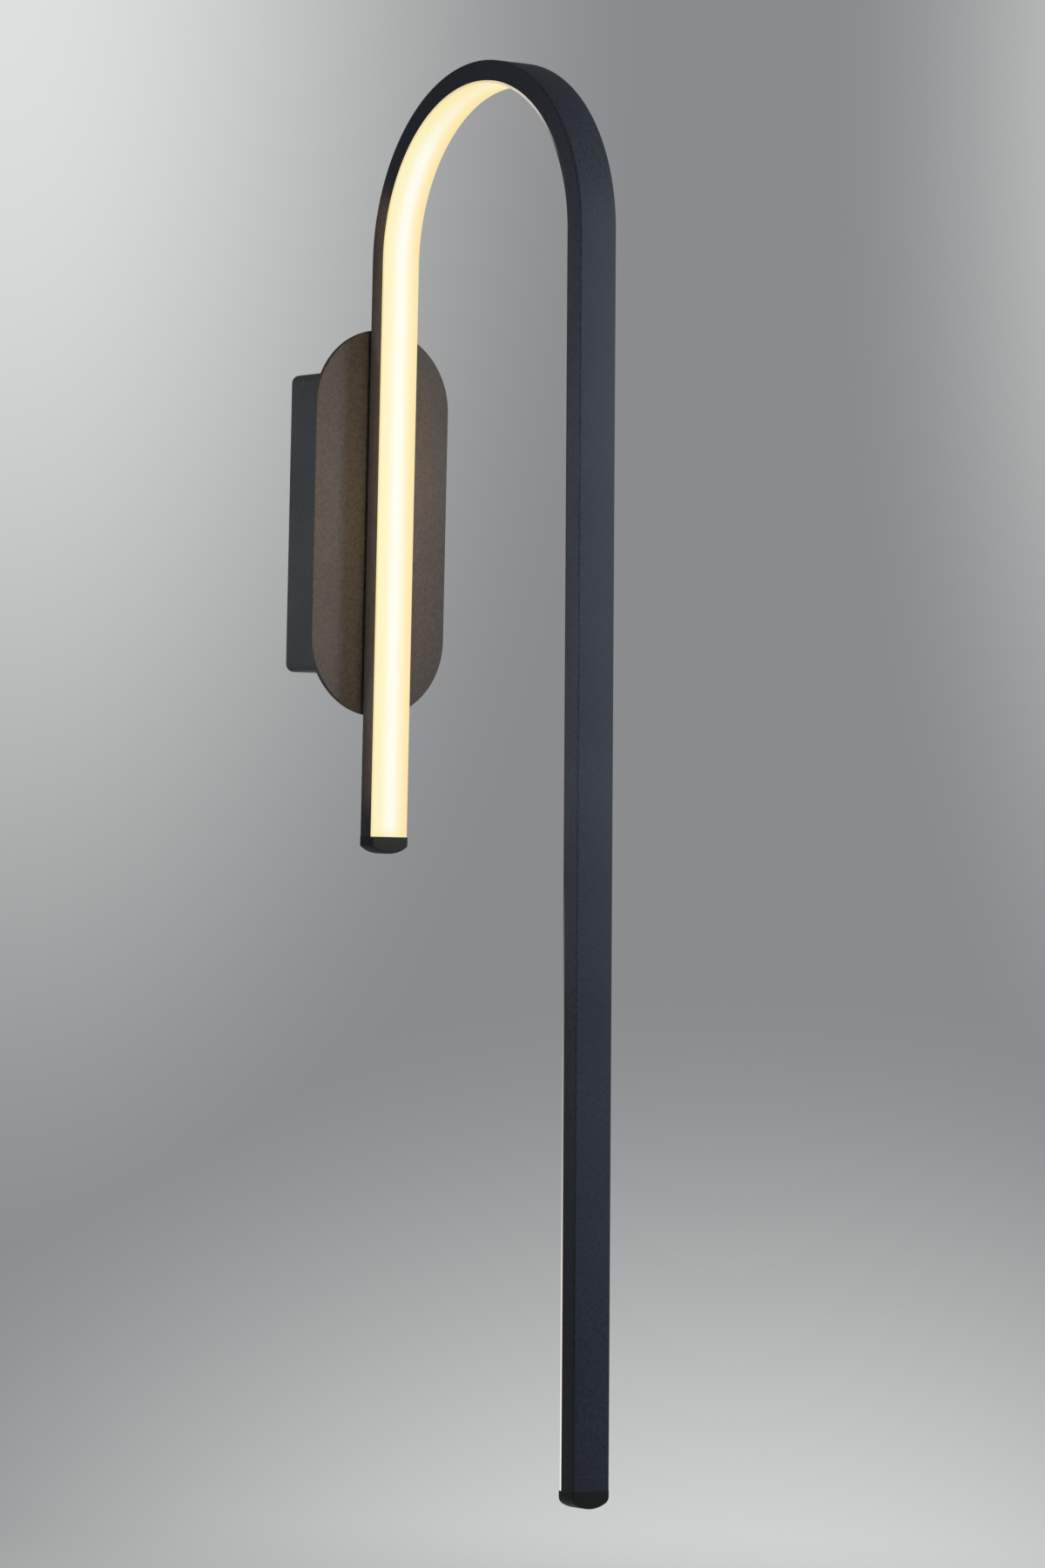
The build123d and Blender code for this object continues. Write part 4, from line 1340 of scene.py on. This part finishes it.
@dataclass
class Studio:
    """Floor, light and camera."""

    drop: float = 150.0  # from the light's lowest point to the floor
    floor_radius: float = 1000.0
    floor_clear: float = 0.3  # share of the radius from which the floor fades out
    floor_glow: float = 0.45
    floor_colour: str = "DCDCDA"
    floor_roughness: float = 0.9
    floor_sides: int = 96
    backdrop: tuple[Stop, ...] = ((0.0, "8A8B8D"), (1.0, "DEE0DF"))
    # Pale patches of the backdrop: place across and up in the view, and reach across and up
    patches: tuple[tuple[float, float, float, float], ...] = (
        (-0.1, 0.15, 0.121, 0.26), (0.146, 0.146, 0.091, 0.244), (0.046, -0.183, 0.214, 0.146))
    soft_colour: str = "E6ECF4"
    soft_strength: float = 0.12
    eye: Point = (-1387.55, -2201.08, -154.34)
    yaw_deg: float = 34.29
    pitch_deg: float = 0.693
    roll_deg: float = 1.213
    focal_px: float = 6160.0
    photo_height_px: int = 1800
    sensor: float = 36.0
    far_m: float = 50.0

    def axes(self) -> tuple[Vector, Vector, Vector]:
        """Right, up and ahead of the camera, before it is rolled.

        Returns:
            The three directions.
        """
        yaw, pitch = math.radians(self.yaw_deg), math.radians(self.pitch_deg)
        level = Vector((math.sin(yaw), math.cos(yaw), 0.0))
        ahead = level * math.cos(pitch) + Vector((0.0, 0.0, math.sin(pitch)))
        right = Vector((math.cos(yaw), -math.sin(yaw), 0.0))
        return right, right.cross(ahead), ahead

    @staticmethod
    def seen(tree: Tree, level: float) -> Node:
        """A level for rays that look, straight or through gloss and glass, and 0 for those that light.

        Args:
            tree: Tree that takes the nodes.
            level: The level.

        Returns:
            Node that gives the level.
        """
        path = add_node(tree, "ShaderNodeLightPath").outputs
        shiny = add_node(tree, "ShaderNodeMath", {
            0: path["Is Glossy Ray"], 1: path["Is Transmission Ray"]}, operation="MAXIMUM")
        looking = add_node(tree, "ShaderNodeMath", {0: path["Is Camera Ray"], 1: shiny}, operation="MAXIMUM")
        return add_node(tree, "ShaderNodeMath", {0: looking, 1: level}, operation="MULTIPLY")

    def floor(self) -> None:
        """Pale floor that fades into the background and takes the light's soft shadow."""
        level = CAD_BOX[0][2] - self.drop * MM
        shape = bmesh.new()
        bmesh.ops.create_circle(shape, cap_ends=True, segments=self.floor_sides,
                                radius=self.floor_radius * MM, matrix=Matrix.Translation((0.0, 0.0, level)))
        plane = from_bmesh("floor", shape)
        plane.data.flip_normals()
        material = bpy.data.materials.new("pale floor")
        material.use_nodes = True
        tree = material.node_tree
        shader = tree.nodes["Principled BSDF"]
        colour = linear(self.floor_colour)
        feed(tree, shader, {
            "Base Color": colour, "Roughness": self.floor_roughness, "Emission Color": colour,
            "Emission Strength": self.seen(tree, self.floor_glow)})
        place = add_node(tree, "ShaderNodeTexCoord").outputs["Object"]
        flat = add_node(tree, "ShaderNodeVectorMath", {0: place, 1: (1.0, 1.0, 0.0)}, operation="MULTIPLY")
        out = add_node(tree, "ShaderNodeVectorMath", {0: flat}, operation="LENGTH").outputs["Value"]
        fade = add_node(tree, "ShaderNodeMapRange", {
            "Value": out, "From Min": self.floor_radius * self.floor_clear * MM,
            "From Max": self.floor_radius * MM}, interpolation_type="SMOOTHSTEP")
        under = add_node(tree, "ShaderNodeNewGeometry").outputs["Backfacing"]
        gone = add_node(tree, "ShaderNodeMath", {0: fade, 1: under}, operation="MAXIMUM")
        clear = add_node(tree, "ShaderNodeBsdfTransparent")
        mixed = add_node(tree, "ShaderNodeMixShader", {0: gone, 1: shader, 2: clear})
        feed(tree, tree.nodes["Material Output"], {"Surface": mixed})
        plane.data.materials.append(material)

    def world(self) -> None:
        """Even grey light, and a pale backdrop for what looks past the light."""
        world = bpy.data.worlds.new("studio")
        world.use_nodes = True
        bpy.context.scene.world = world
        tree = world.node_tree
        tree.nodes.clear()
        way = add_node(tree, "ShaderNodeTexCoord").outputs["Generated"]
        right, upright, ahead = self.axes()
        pale: Node | float = 0.0
        for across, up, wide, tall in self.patches:
            middle = (ahead + right * across + upright * up).normalized()
            off = add_node(tree, "ShaderNodeVectorMath", {0: way, 1: middle}, operation="SUBTRACT")
            reaches = {"X": right / wide, "Y": upright / tall, "Z": ahead / max(wide, tall)}
            shares = add_node(tree, "ShaderNodeCombineXYZ", {
                label: add_node(tree, "ShaderNodeVectorMath", {
                    0: off, 1: reach}, operation="DOT_PRODUCT").outputs["Value"]
                for label, reach in reaches.items()})
            far = add_node(tree, "ShaderNodeVectorMath", {0: shares}, operation="LENGTH").outputs["Value"]
            patch = add_node(tree, "ShaderNodeMapRange", {
                "Value": far, "From Min": 1.0, "From Max": 0.0}, interpolation_type="SMOOTHSTEP")
            pale = add_node(tree, "ShaderNodeMath", {0: pale, 1: patch}, operation="MAXIMUM")
        sky = add_node(tree, "ShaderNodeValToRGB", {"Fac": pale}, self.backdrop)
        backdrop = add_node(tree, "ShaderNodeBackground", {"Color": sky, "Strength": 1.0})
        soft = add_node(tree, "ShaderNodeBackground", {
            "Color": linear(self.soft_colour), "Strength": self.soft_strength})
        mixed = add_node(tree, "ShaderNodeMixShader", {0: self.seen(tree, 1.0), 1: soft, 2: backdrop})
        add_node(tree, "ShaderNodeOutputWorld", {"Surface": mixed})

    def camera(self) -> None:
        """Camera at the photograph's place, angle and focal length."""
        data = bpy.data.cameras.new("photo_camera")
        data.sensor_width = self.sensor
        data.lens = self.focal_px / self.photo_height_px * self.sensor
        data.clip_end = self.far_m
        right, up, ahead = self.axes()
        roll = math.radians(self.roll_deg)
        across = right * math.cos(roll) + up * math.sin(roll)
        upright = up * math.cos(roll) - right * math.sin(roll)
        pose = Matrix((across, upright, -ahead)).transposed().to_4x4()
        pose.translation = Vector(self.eye) * MM
        camera = add_object("photo_camera", data)
        camera.matrix_world = pose
        bpy.context.scene.camera = camera

    def build(self) -> None:
        """Set the stage."""
        bpy.context.scene.view_settings.view_transform = "Standard"
        self.floor()
        for lamp in LAMPS:
            lamp.build()
        self.world()
        self.camera()


def main() -> None:
    """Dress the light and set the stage."""
    logging.basicConfig(level=logging.INFO, format="%(name)s %(message)s")
    hook = Hook()
    channel = LightChannel(hook)
    channel.build()
    LightDiffuser(hook, channel).build()
    LedRow(hook).build()
    EndCap(hook, Leg.SHORT, corner=1.0).build()
    EndCap(hook, Leg.LONG, corner=3.5).build()
    FrontPlate(channel).build()
    Fasteners(channel).build()
    WallBox().build()
    Studio().build()


if __name__ == "__main__":
    main()
